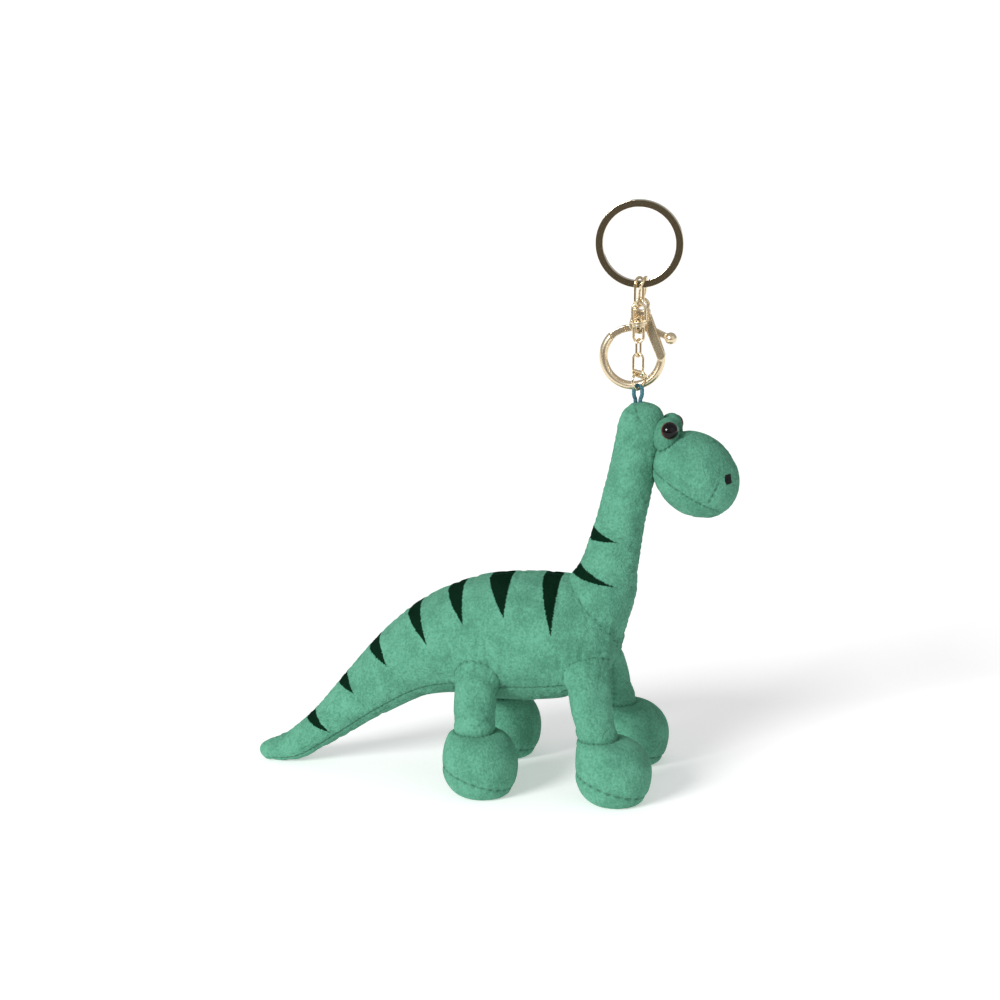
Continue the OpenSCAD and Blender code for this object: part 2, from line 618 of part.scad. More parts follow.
right_flank();
left_flank();
belly_gusset();
trunk_fill();
neck_right();
neck_left();
neck_fill();
muzzle_upper();
lower_jaw();
muzzle_fill();
brow_right();
brow_left();
eye_right();
eye_left();
eye_washer_right();
eye_washer_left();
nostril_right();
nostril_left();
leg_hind_right();
leg_hind_left();
leg_fore_right();
leg_fore_left();
foot_hind_right();
foot_hind_left();
foot_fore_right();
foot_fore_left();
sole_hind_right();
sole_hind_left();
sole_fore_right();
sole_fore_left();
fill_hind_right();
fill_hind_left();
fill_fore_right();
fill_fore_left();
cord_loop();
jump_ring();
spare_link();
chain_link_lower();
chain_link_upper();
swivel_lower();
swivel_rivet();
swivel_upper();
front_ring_link();
rear_ring_link();
split_ring();
clasp_body();
clasp_lever();
clasp_pin();
clasp_spring();
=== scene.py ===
"""Looks of a plush long-necked dinosaur on a key ring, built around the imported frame.

Every length is in metres in the part's own frame: +X towards the snout, +Z up, Y = 0 the
plane of symmetry, and the soles stand on Z = 0. Sizes inside the classes are written in
millimetres and are multiplied by MM where the meshes are made.
"""

from __future__ import annotations

import logging
import math
from collections.abc import Callable
from dataclasses import dataclass, field
from enum import Enum

import bpy
import numpy as np
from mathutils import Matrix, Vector


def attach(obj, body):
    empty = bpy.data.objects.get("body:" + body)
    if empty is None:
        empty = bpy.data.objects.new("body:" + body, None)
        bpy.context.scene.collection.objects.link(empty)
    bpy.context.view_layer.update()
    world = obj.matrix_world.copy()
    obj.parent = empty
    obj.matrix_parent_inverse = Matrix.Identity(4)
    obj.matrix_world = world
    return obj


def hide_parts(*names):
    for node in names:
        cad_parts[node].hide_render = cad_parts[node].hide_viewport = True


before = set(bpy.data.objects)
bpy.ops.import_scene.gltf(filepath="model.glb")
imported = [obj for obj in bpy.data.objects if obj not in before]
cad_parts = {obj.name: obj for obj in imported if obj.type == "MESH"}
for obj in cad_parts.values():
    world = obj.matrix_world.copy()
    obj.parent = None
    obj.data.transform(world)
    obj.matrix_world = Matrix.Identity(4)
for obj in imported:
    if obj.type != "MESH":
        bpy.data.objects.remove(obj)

LOG = logging.getLogger("plush_keychain")
MM = 0.001
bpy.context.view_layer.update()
STITCH = 2.1  # length of one stitch, in millimetres
SEAM_RADIUS = 8.0  # turns the angle round a seam into a length, in millimetres
ASKEW = (0.31, 0.2, 0.93)  # a direction that no seam's axis lies along
BATCH = 8192  # points measured at a time

Measure = Callable[[np.ndarray], np.ndarray]


class Side(Enum):
    """Side of the toy; the value is the sign of Y."""

    RIGHT = -1
    LEFT = 1

    @property
    def word(self) -> str:
        """Name of the side as the frame's nodes write it."""
        return "right" if self is Side.RIGHT else "left"


class Pair(Enum):
    """Pair of legs."""

    HIND = "hind"
    FORE = "fore"


# ---------------------------------------------------------------- curves and fields


def catmull_rom(stations: np.ndarray, steps: int) -> np.ndarray:
    """Smooth path through stations.

    Each stretch is the Catmull-Rom cubic of its four nearest stations.

    Args:
        stations: Rows of numbers, one row a station.
        steps: Points to a stretch.

    Returns:
        Rows of the same width, steps to a stretch and the last station.
    """
    ends = np.vstack([stations[:1], stations, stations[-1:]])
    t = np.linspace(0.0, 1.0, steps, endpoint=False)[None, :, None]
    a, b, c, d = (ends[i : len(ends) - 3 + i, None, :] for i in range(4))
    cubic = 0.5 * (2 * b + (c - a) * t + (2 * a - 5 * b + 4 * c - d) * t**2 + (3 * b - a - 3 * c + d) * t**3)
    return np.vstack([cubic.reshape(-1, stations.shape[1]), stations[-1:]])


def by_length(path: np.ndarray, measure: np.ndarray, count: int) -> np.ndarray:
    """Same path with its points evenly spaced, by linear interpolation.

    Args:
        path: Rows of numbers.
        measure: As many rows, whose distances apart space the points.
        count: Points wanted.

    Returns:
        Rows of the same width as the path's.
    """
    step = np.linalg.norm(np.diff(measure, axis=0), axis=1)
    run = np.concatenate([[0.0], np.cumsum(step)])
    wanted = np.linspace(0.0, run[-1], count)
    return np.stack([np.interp(wanted, run, column) for column in path.T], axis=1)


def ripple(s: np.ndarray, seed: float, waves: tuple[float, ...]) -> np.ndarray:
    """Uneven wave between -1 and 1: a mean of sines with seeded phases.

    Args:
        s: Lengths along a seam.
        seed: Number that shifts the phases.
        waves: Length of each sine's wave.

    Returns:
        Height of the wave at each length.
    """
    total = sum(np.sin(2 * math.pi * s / length + seed * (3.1 + 1.7 * i)) for i, length in enumerate(waves))
    return total / len(waves)


def stitched(run: np.ndarray, share: float) -> np.ndarray:
    """Wave along a seam: 1 at the middle of each stitch, and less by twice the share between two."""
    return 1 - share + share * np.cos(2 * math.pi * run / STITCH)


def fade(values: np.ndarray, start: float, over: float) -> np.ndarray:
    """Ramp from 0 at start to 1 a stretch of over further on; a negative stretch runs backwards."""
    return np.clip((values - start) / over, 0, 1)


class Form:
    """A soft form that others meet; distances are in millimetres, negative inside."""

    def distance(self, p: np.ndarray) -> np.ndarray:
        """Signed distance of points from the form's skin."""
        raise NotImplementedError


@dataclass
class Bent(Form):
    """Elliptic sections carried along a path in the XZ plane.

    Attributes:
        stations: Rows of centre x, centre z, half height and half width.
        rows: Rings along the skin.
        around: Points round a ring.
    """

    stations: list[list[float]]
    rows: int
    around: int
    path: np.ndarray = field(init=False)
    way: np.ndarray = field(init=False)

    def __post_init__(self) -> None:
        """Space the rings evenly along the skin's outline."""
        fine = catmull_rom(np.array(self.stations), 30)
        fine[:, 2:] = np.maximum(fine[:, 2:], 0.3)
        self.path = by_length(fine, fine[:, :3], self.rows)
        slope = np.gradient(self.path[:, :2], axis=0)
        self.way = slope / np.linalg.norm(slope, axis=1)[:, None]

    def rings(self) -> np.ndarray:
        """Points of the skin.

        A point is the centre plus half height times cosine along the section's own down
        direction and half width times sine along Y, with angle 0 on the underside.

        Returns:
            Array of rings, points round a ring, and x, y, z.
        """
        a = np.linspace(0.0, 2 * math.pi, self.around, endpoint=False)[None, :]
        x, z, h, w = (self.path[:, i, None] for i in range(4))
        dx, dz = self.way[:, 0, None], self.way[:, 1, None]
        return np.stack([x + dz * h * np.cos(a), w * np.sin(a), z - dx * h * np.cos(a)], axis=2)

    def distance(self, p: np.ndarray) -> np.ndarray:
        """Signed distance: the section's radius ratio less one, times its smaller half size."""
        path, way = self.path[::4], self.way[::4]
        out = np.empty(len(p))
        for start in range(0, len(p), BATCH):
            q = p[start : start + BATCH]
            dx = q[:, None, 0] - path[:, 0]
            dz = q[:, None, 2] - path[:, 1]
            along = dx * way[:, 0] + dz * way[:, 1]
            rise = dz * way[:, 0] - dx * way[:, 1]
            ratio = np.sqrt((rise / path[:, 2]) ** 2 + (q[:, None, 1] / path[:, 3]) ** 2)
            best = np.argmin(np.abs(along) + 0.25 * np.abs(rise), axis=1)
            pick = np.arange(len(q))
            small = np.minimum(path[best, 2], path[best, 3])
            flat = (ratio[pick, best] - 1) * small
            outside = np.hypot(np.maximum(flat, 0), np.abs(along[pick, best]))
            out[start : start + BATCH] = np.where(flat > 0, outside, np.maximum(flat, -small))
        return out

    def round_from(self, degrees: float, radius: np.ndarray) -> np.ndarray:
        """Distance of the ring points, round the skin, from the line at an angle from the underside.

        Args:
            degrees: Angle of the line.
            radius: Radius of each ring, which turns angles into lengths.

        Returns:
            Signed distance of each ring point.
        """
        angle = np.tile(np.linspace(0, 360, self.around, endpoint=False), len(self.path))
        turn = (angle - degrees + 180) % 360 - 180
        return np.radians(turn) * np.repeat(radius, self.around)

    def lengthwise(
        self, degrees: float, radius: np.ndarray, step: float, gate: Measure | None, *shape: float
    ) -> Crease:
        """Crease along the skin.

        Args:
            degrees: Angle of the crease from the underside.
            radius: Radius of each ring.
            step: Distance between two rings.
            gate: Where the crease exists.
            *shape: Depth, width, gather, reach and seed of the crease.

        Returns:
            The crease, which is measured at the ring points only.
        """
        run = np.repeat(np.arange(len(self.path)) * step, self.around)
        return Crease(lambda p: self.round_from(degrees, radius), lambda p: run, gate, *shape)


@dataclass
class Ball(Form):
    """An ellipsoid with its poles on Y, turned down at +X by tilt degrees."""

    centre: tuple[float, float, float]
    half: tuple[float, float, float]
    rows: int = 97
    around: int = 144
    tilt: float = 0.0

    def turned(self, p: np.ndarray, way: int) -> np.ndarray:
        """Points turned by the tilt about Y: way 1 puts them in place and -1 takes them back."""
        t = math.radians(self.tilt)
        c, s = math.cos(t), way * math.sin(t)
        return np.stack([c * p[..., 0] + s * p[..., 2], p[..., 1], c * p[..., 2] - s * p[..., 0]], axis=-1)

    def onto(self, p: np.ndarray) -> np.ndarray:
        """Points moved along the line from the centre onto the skin."""
        rel = self.turned(p - np.array(self.centre), -1)
        rel /= np.linalg.norm(rel / np.array(self.half), axis=-1)[..., None]
        return np.array(self.centre) + self.turned(rel, 1)

    def rings(self) -> np.ndarray:
        """Points of the skin: latitude circles from the pole at -Y to the pole at +Y."""
        t = np.linspace(0.02, math.pi - 0.02, self.rows)[:, None]
        a = np.linspace(0.0, 2 * math.pi, self.around, endpoint=False)[None, :]
        h = self.half
        level = [h[0] * np.sin(t) * np.cos(a), -h[1] * np.cos(t) + 0 * a, h[2] * np.sin(t) * np.sin(a)]
        return np.array(self.centre) + self.turned(np.stack(level, axis=2), 1)

    def distance(self, p: np.ndarray) -> np.ndarray:
        """Signed distance: the radius ratio less one, times the smallest half size."""
        rel = self.turned(p - np.array(self.centre), -1)
        return (np.linalg.norm(rel / np.array(self.half), axis=1) - 1) * min(self.half)


@dataclass
class Limb(Form):
    """Level rings of a leg or a foot.

    Attributes:
        stations: Rows of height z, centre x, centre y and radius.
        rows: Rings along the skin.
        around: Points round a ring.
    """

    stations: np.ndarray
    rows: int
    around: int
    path: np.ndarray = field(init=False)

    def __post_init__(self) -> None:
        """Space the rings evenly along the skin's outline."""
        outline = np.stack([self.stations[:, 0], self.stations[:, 3]], axis=1)
        self.path = by_length(self.stations, outline, self.rows)

    def rings(self) -> np.ndarray:
        """Points of the skin: a circle of the station's radius about its centre at its height."""
        a = np.linspace(0.0, 2 * math.pi, self.around, endpoint=False)[None, :]
        z, x, y, r = (self.path[:, i, None] for i in range(4))
        return np.stack([x + r * np.cos(a), y + r * np.sin(a), z + 0 * a], axis=2)

    def distance(self, p: np.ndarray) -> np.ndarray:
        """Signed distance: how far a point lies outside the circle at its own height."""
        z = np.clip(p[:, 2], self.path[:, 0].min(), self.path[:, 0].max())
        order = np.argsort(self.path[:, 0])
        x, y, r = (np.interp(z, self.path[order, 0], self.path[order, i]) for i in (1, 2, 3))
        side = np.hypot(p[:, 0] - x, p[:, 1] - y) - r
        return np.where(p[:, 2] == z, side, np.hypot(np.maximum(side, 0), p[:, 2] - z))


# ---------------------------------------------------------------- sewing


@dataclass
class Join:
    """Seam where two forms meet, with the soft hollow beside it and the gathers across it.

    Attributes:
        other: Form that the skin meets.
        centre: Point that the seam runs round.
        axis: Direction that the seam runs round, for the gathers.
        fillet: Reach of the rounding between the forms.
        depth: Depth of the sewn line.
        gather: Height of the gathers.
        seed: Number that places the gathers.
        width: Half width of the sewn line.
        reach: Distance over which the gathers die out.
        mark: Half width of the painted shade along the seam.
    """

    other: Form
    centre: tuple[float, float, float]
    axis: tuple[float, float, float]
    fillet: float = 3.0
    depth: float = 0.55
    gather: float = 0.28
    seed: float = 0.0
    width: float = 0.42
    reach: float = 2.6
    mark: float = 0.5

    def lift(self, p: np.ndarray) -> tuple[np.ndarray, np.ndarray]:
        """How far the skin moves out at points, and how strong the painted shade along the seam is there.

        The rounding is a smooth union's: (reach less distance) squared over four reaches. The
        sewn line is a bell of the distance, deepened at each stitch, and the gathers are waves
        of the turn about the axis that fade with the distance.

        Args:
            p: Points of the skin.

        Returns:
            Movements along the skin's normal, and strengths from 0 to 1 of the painted shade along the seam.
        """
        away = np.abs(self.other.distance(p))
        axis = np.array(self.axis) / np.linalg.norm(self.axis)
        u = np.cross(axis, ASKEW)
        u /= np.linalg.norm(u)
        v = np.cross(axis, u)
        rel = p - np.array(self.centre)
        run = np.arctan2(rel @ v, rel @ u) * SEAM_RADIUS
        line = np.exp(-((away / self.width) ** 2))
        waves = ripple(run, self.seed, (5.03, 3.14, 2.28)) + 0.4 * ripple(run, self.seed + 2, (8.4, 1.6))
        gathers = self.gather * waves * np.exp(-away / self.reach)
        soft = np.maximum(self.fillet - away, 0) ** 2 / (4 * self.fillet)
        # Painted shade along the seam, stronger at each stitch.
        dark = np.exp(-((away / self.mark) ** 2)) * stitched(run, 0.4)
        return soft - self.depth * line * stitched(run, 0.2) + gathers, dark


@dataclass
class Crease:
    """Sewn line that is the zero line of a function of the points.

    Attributes:
        where: Function of points that gives their distance across the line.
        run: Function of points that gives their distance along it.
        gate: Function of points that is 1 where the line exists and 0 elsewhere.
        depth: Depth of the sewn line.
        width: Half width of the sewn line.
        gather: Height of the gathers.
        reach: Distance over which the gathers die out.
        seed: Number that places the gathers.
        shade: Strength of the painted shade along the line.
    """

    where: Measure
    run: Measure
    gate: Measure | None = None
    depth: float = 0.5
    width: float = 0.42
    gather: float = 0.16
    reach: float = 2.4
    seed: float = 0.0
    shade: float = 1.0

    def lift(self, p: np.ndarray) -> tuple[np.ndarray, np.ndarray]:
        """How far the skin moves out at points, and how strong the painted shade along the line is there; as
        in Join.
        """
        away = np.abs(self.where(p))
        run = self.run(p)
        on = np.ones(len(p)) if self.gate is None else self.gate(p)
        line = np.exp(-((away / self.width) ** 2)) * on
        gathers = self.gather * ripple(run, self.seed, (4.7, 3.3, 2.1)) * np.exp(-away / self.reach) * on
        # Painted shade along the line, stronger at each stitch.
        dark = line * stitched(run, 0.4) * self.shade
        return gathers - self.depth * line * stitched(run, 0.25), dark


# ---------------------------------------------------------------- meshes


@dataclass
class Skin:
    """Closed grid of rings with a point at each end."""

    rings: np.ndarray

    @property
    def points(self) -> np.ndarray:
        """All points: the rings in order, then the first and the last end's point."""
        rows, around, _ = self.rings.shape
        ends = np.stack([self.rings[0].mean(axis=0), self.rings[-1].mean(axis=0)])
        return np.vstack([self.rings.reshape(rows * around, 3), ends])

    def corners(self) -> tuple[np.ndarray, np.ndarray]:
        """Faces of the closed grid: a quad between neighbours and a fan of triangles at each end.

        Returns:
            Quads and triangles as rows of point numbers.
        """
        rows, around, _ = self.rings.shape
        i, k = np.meshgrid(np.arange(rows - 1), np.arange(around), indexing="ij")
        a, b = i * around + k, i * around + (k + 1) % around
        quads = np.stack([a, b, b + around, a + around], axis=2).reshape(-1, 4)
        k = np.arange(around)
        n = (k + 1) % around
        first, last = rows * around, rows * around + 1
        low = np.stack([np.full(around, first), n, k], axis=1)
        top = (rows - 1) * around
        high = np.stack([np.full(around, last), top + k, top + n], axis=1)
        return quads, np.vstack([low, high])

    def faces(self) -> tuple[np.ndarray, np.ndarray]:
        """Quads and triangles that look out, so that the volume under them is positive."""
        quads, tris = self.corners()
        p = self.points
        thirds = np.vstack([quads[:, [0, 1, 2]], quads[:, [0, 2, 3]], tris])
        a, b, c = (p[thirds[:, corner]] for corner in range(3))
        if float(np.einsum("ij,ij->i", a, np.cross(b, c)).sum()) > 0:
            return quads, tris
        return quads[:, ::-1], tris[:, ::-1]

    def mesh(self, name: str, scale: float = MM) -> bpy.types.Mesh:
        """Blender mesh of the grid, with its points multiplied by scale."""
        return faces_to_mesh(name, self.points * scale, list(self.faces()))

    def normals(self) -> np.ndarray:
        """Unit outward normals at the points, summed from the faces round each."""
        quads, tris = self.faces()
        p = self.points
        total = np.zeros_like(p)
        for faces in (quads[:, [0, 1, 2]], quads[:, [0, 2, 3]], tris):
            n = np.cross(p[faces[:, 1]] - p[faces[:, 0]], p[faces[:, 2]] - p[faces[:, 0]])
            for corner in range(3):
                np.add.at(total, faces[:, corner], n)
        return total / np.maximum(np.linalg.norm(total, axis=1), 1e-12)[:, None]

    def moved(self, amount: np.ndarray) -> Skin:
        """Skin with each ring point moved along its normal by amount, or by a vector."""
        rows, around, _ = self.rings.shape
        n = self.normals()[: rows * around]
        step = amount if amount.ndim == 2 else n * amount[:, None]
        return Skin(self.rings + step.reshape(rows, around, 3))


def faces_to_mesh(name: str, points: np.ndarray, groups: list[np.ndarray]) -> bpy.types.Mesh:
    """Blender mesh from points and groups of faces with the same number of corners.

    Args:
        name: Name of the mesh.
        points: Rows of x, y, z in metres.
        groups: Arrays of faces, rows of point numbers.

    Returns:
        The mesh, with smooth faces.
    """
    mesh = bpy.data.meshes.new(name)
    loops = np.concatenate([g.ravel() for g in groups])
    sizes = np.concatenate([np.full(len(g), g.shape[1]) for g in groups])
    starts = np.concatenate([[0], np.cumsum(sizes)[:-1]])
    mesh.vertices.add(len(points))
    mesh.vertices.foreach_set("co", points.astype(np.float32).ravel())
    mesh.loops.add(len(loops))
    mesh.loops.foreach_set("vertex_index", loops.astype(np.int32))
    mesh.polygons.add(len(starts))
    mesh.polygons.foreach_set("loop_start", starts.astype(np.int32))
    mesh.polygons.foreach_set("use_smooth", np.ones(len(starts), bool))
    mesh.update(calc_edges=True)
    mesh.validate()
    return mesh


def skins_to_mesh(name: str, skins: list[Skin]) -> bpy.types.Mesh:
    """One Blender mesh of several closed grids.

    Args:
        name: Name of the mesh.
        skins: Grids in millimetres.

    Returns:
        The mesh, whose grids stay apart.
    """
    groups, count = [], 0
    for skin in skins:
        groups += [faces + count for faces in skin.faces()]
        count += len(skin.points)
    return faces_to_mesh(name, np.vstack([skin.points for skin in skins]) * MM, groups)


def show(mesh: bpy.types.Mesh) -> bpy.types.Object:
    """Object at the origin that shows a mesh, linked to the scene."""
    piece = bpy.data.objects.new(mesh.name, mesh)
    bpy.context.scene.collection.objects.link(piece)
    return piece


def settle(
    piece: bpy.types.Object, body: str, finish: bpy.types.Material, nodes: list[str]
) -> bpy.types.Object:
    """Give a piece its material and its body, and hide the frame's nodes that it stands for.
    Give a piece all that the export asks of it.

    Args:
        piece: The piece.
        body: Body of the part that it rides on.
        finish: Its material.
        nodes: Nodes of the frame that it stands for.

    Returns:
        The same piece.
    """
    piece.data.materials.append(finish)
    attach(piece, body)
    if nodes:
        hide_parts(*nodes)
    LOG.info("%s: %d faces, rides on %s", piece.name, len(piece.data.polygons), body)
    return piece


# ---------------------------------------------------------------- stuffing


@dataclass(frozen=True)
class Stuffing:
    """Pressure of the fibre on a cover whose seams hold it.

    Attributes:
        pressure: Pressure inside the cover.
        slack: Share by which the cover is cut larger than its form.
        cap: Farthest that a point may move, in millimetres.
        scale: The cover is simulated this many times its own size.
        frames: Frames of the simulation.
    """

    pressure: float = 4.0
    slack: float = 0.02
    cap: float = 0.5
    scale: float = 10.0
    frames: int = 20

    def fill(self, skin: Skin, held: np.ndarray) -> Skin:
        """Let a cover settle over its fibre between held seams.

        Every second ring and point is simulated as cloth, its movement is capped, and the
        movements in between are cubic means of their neighbours.

        Args:
            skin: Cover before it is stuffed.
            held: Strength from 0 to 1 with which each ring point is held by a seam.

        Returns:
            The stuffed cover.
        """
        rows, around, _ = skin.rings.shape
        coarse = Skin(skin.rings[::2, ::2])
        hold = held.reshape(rows, around)[::2, ::2].ravel()
        piece = show(coarse.mesh("cover", self.scale * MM))
        self.pin(piece, hold)
        self.weave(piece)
        shaped = self.press(piece)[: len(hold)]
        step = shaped / (self.scale * MM) - coarse.rings.reshape(-1, 3)
        far = np.linalg.norm(step, axis=1)
        LOG.info("cover of %d points moved %.2f mm at most", len(hold), float(far.max()))
        step *= (self.cap * np.tanh(far / self.cap) / np.maximum(far, 1e-9))[:, None]
        return skin.moved(self.between(step.reshape(coarse.rings.shape), rows, around).reshape(-1, 3))

    @staticmethod
    def pin(piece: bpy.types.Object, hold: np.ndarray) -> None:
        """Hold a cover at its seams, to the nearest quarter, and wholly at its two end points."""
        group = piece.vertex_groups.new(name="sewn")
        for level in (0.25, 0.5, 0.75, 1.0):
            chosen = np.nonzero((hold > level - 0.125) & (hold <= level + 0.125))[0]
            group.add(chosen.tolist(), level, "REPLACE")
        group.add([len(hold), len(hold) + 1], 1.0, "REPLACE")

    def weave(self, piece: bpy.types.Object) -> None:
        """Make a cover a cloth that is pressed from inside, without gravity."""
        cloth = piece.modifiers.new("stuffing", "CLOTH")
        cloth.settings.quality = 4
        cloth.settings.mass = 0.3
        cloth.settings.tension_stiffness = 12
        cloth.settings.compression_stiffness = 12
        cloth.settings.bending_stiffness = 0.4
        cloth.settings.use_pressure = True
        cloth.settings.uniform_pressure_force = self.pressure
        cloth.settings.shrink_min = -self.slack
        cloth.settings.shrink_max = -self.slack
        cloth.settings.vertex_group_mass = "sewn"
        cloth.settings.effector_weights.gravity = 0.0
        cloth.collision_settings.use_collision = False
        cloth.point_cache.frame_start = 1
        cloth.point_cache.frame_end = self.frames

    def press(self, piece: bpy.types.Object) -> np.ndarray:
        """Run the simulation, take its last points, and remove the cover."""
        for number in range(1, self.frames + 1):
            bpy.context.scene.frame_set(number)
        shaped = piece.evaluated_get(bpy.context.evaluated_depsgraph_get()).data
        flat = np.zeros(len(shaped.vertices) * 3, np.float32)
        shaped.vertices.foreach_get("co", flat)
        bpy.context.scene.frame_set(1)
        bpy.data.objects.remove(piece)
        return flat.reshape(-1, 3)

    @staticmethod
    def between(step: np.ndarray, rows: int, around: int) -> np.ndarray:
        """Movements of the full grid, with the missing ones as cubic means of four neighbours.

        Args:
            step: Movements of every second ring and point.
            rows: Rings of the full grid.
            around: Points round a ring of the full grid.

        Returns:
            Movements of every point.
        """
        wide = np.empty((step.shape[0], around, 3))
        wide[:, ::2] = step
        wide[:, 1::2] = (9 * (step + np.roll(step, -1, 1)) - np.roll(step, 1, 1) - np.roll(step, -2, 1)) / 16
        out = np.empty((rows, around, 3))
        out[::2] = wide
        pad = np.concatenate([wide[:1], wide, wide[-1:]])
        out[1::2] = (9 * (pad[1:-2] + pad[2:-1]) - pad[:-3] - pad[3:]) / 16
        return out


def sew(skin: Skin, seams: list[Join | Crease], stuffing: Stuffing) -> tuple[Skin, np.ndarray]:
    """Stuff a cover, then work its seams, hollows and gathers into it.

    Args:
        skin: Cover in millimetres.
        seams: Seams of the cover.
        stuffing: How it is stuffed.

    Returns:
        The finished cover, and the strength of the painted shade along the seams at each of its points.
    """
    count = skin.rings.shape[0] * skin.rings.shape[1]
    p = skin.rings.reshape(-1, 3)
    # Strength of the painted shade along the seams.
    near = np.max([seam.lift(p)[1] for seam in seams], axis=0)
    held = np.zeros(count)
    for seam in seams:
        away = np.abs(seam.other.distance(p)) if isinstance(seam, Join) else np.abs(seam.where(p))
        held = np.maximum(held, np.clip(1.3 - away / 1.6, 0, 1))
    skin = stuffing.fill(skin, held)
    lifts = np.array([seam.lift(p)[0] for seam in seams])
    return skin.moved(lifts.sum(axis=0)), near


# ---------------------------------------------------------------- finishes


class Graph:
    """Short hand for the nodes of one material."""

    def __init__(self, name: str) -> None:
        """Start an empty material with an output and a principled shader."""
        self.material = bpy.data.materials.new(name)
        self.material.use_nodes = True
        self.tree = self.material.node_tree
        self.tree.nodes.clear()
        self.out = self.node("ShaderNodeOutputMaterial")
        self.shader = self.node("ShaderNodeBsdfPrincipled")
        self.tree.links.new(self.shader.outputs["BSDF"], self.out.inputs["Surface"])
        self.coords = self.node("ShaderNodeTexCoord").outputs["Object"]

    def node(self, kind: str, **settings: object) -> bpy.types.Node:
        """New node of a kind with its settings."""
        made = self.tree.nodes.new(kind)
        for key, value in settings.items():
            setattr(made, key, value)
        return made

    def put(self, socket: bpy.types.NodeSocket, value: object) -> None:
        """Link a socket into another, or set its value."""
        if isinstance(value, bpy.types.NodeSocket):
            self.tree.links.new(value, socket)
        else:
            socket.default_value = value

    def math(self, what: str, a: object, b: object = 0.0, clamp: bool = False) -> bpy.types.NodeSocket:
        """Result of a math node."""
        made = self.node("ShaderNodeMath", operation=what, use_clamp=clamp)
        self.put(made.inputs[0], a)
        self.put(made.inputs[1], b)
        return made.outputs[0]

    def vector(self, what: str, a: object, b: object, output: str = "Vector") -> bpy.types.NodeSocket:
        """Result of a vector math node."""
        made = self.node("ShaderNodeVectorMath", operation=what)
        self.put(made.inputs[0], a)
        self.put(made.inputs[1], b)
        return made.outputs[output]

    def fold(self, what: str, values: list[bpy.types.NodeSocket]) -> bpy.types.NodeSocket:
        """Result of a math node on the first two values, of another on that and the third, and so on."""
        total = values[0]
        for value in values[1:]:
            total = self.math(what, total, value)
        return total

    def noise(
        self, scale: float, detail: float = 2.0, rough: float = 0.5, output: str = "Fac"
    ) -> bpy.types.NodeSocket:
        """Noise on the Object coordinates; scale is in cells a metre."""
        made = self.node("ShaderNodeTexNoise")
        self.put(made.inputs["Vector"], self.coords)
        made.inputs["Scale"].default_value = scale
        made.inputs["Detail"].default_value = detail
        made.inputs["Roughness"].default_value = rough
        return made.outputs[output]

    def band(self, value: object, low: float, high: float) -> bpy.types.NodeSocket:
        """Smooth step of a value from 0 at low to 1 at high."""
        made = self.node("ShaderNodeMapRange", interpolation_type="SMOOTHSTEP")
        self.put(made.inputs["Value"], value)
        made.inputs["From Min"].default_value = low
        made.inputs["From Max"].default_value = high
        return made.outputs["Result"]

    def mix(self, share: object, a: object, b: object) -> bpy.types.NodeSocket:
        """Colour between a and b."""
        made = self.node("ShaderNodeMix", data_type="RGBA")
        self.put(made.inputs["Factor"], share)
        for socket, value in ((made.inputs[6], a), (made.inputs[7], b)):
            self.put(socket, (*value, 1.0) if isinstance(value, tuple) and len(value) == 3 else value)
        return made.outputs[2]

    def bump(
        self, height: object, distance: float, strength: float = 1.0, under: object = None
    ) -> bpy.types.NodeSocket:
        """Normal of a height in units of distance."""
        made = self.node("ShaderNodeBump")
        made.inputs["Strength"].default_value = strength
        made.inputs["Distance"].default_value = distance
        self.put(made.inputs["Height"], height)
        if under is not None:
            self.put(made.inputs["Normal"], under)
        return made.outputs["Normal"]

    def surface(self, inputs: dict[str, object]) -> bpy.types.Material:
        """Set the shader's inputs by name, and hand the material over."""
        for name, value in inputs.items():
            self.put(self.shader.inputs[name], value)
        return self.material


@dataclass(frozen=True)
class Stripe:
    """Printed thorn: a triangle in the XZ plane, in millimetres, that runs over both sides.

    Attributes:
        one: First corner at the back line.
        two: Second corner at the back line.
        tip: Lower tip.
        over: The sides run on past the back line to this share of their length.
    """

    one: tuple[float, float]
    two: tuple[float, float]
    tip: tuple[float, float]
    over: float = 1.16

    def edges(self) -> list[tuple[tuple[float, float, float], float]]:
        """Inward normal and offset of each edge, so that normal . point - offset is the depth inside."""
        p = np.array([self.one, self.two, self.tip]) * MM
        p[:2] = p[2] + self.over * (p[:2] - p[2])
        middle = p.mean(axis=0)
        found = []
        for i in range(3):
            a, b = p[i], p[(i + 1) % 3]
            n = np.array([-(b - a)[1], (b - a)[0]])
            n /= np.linalg.norm(n)
            n = n if n @ (middle - a) > 0 else -n
            found.append(((float(n[0]), 0.0, float(n[1])), float(n @ a)))
        return found


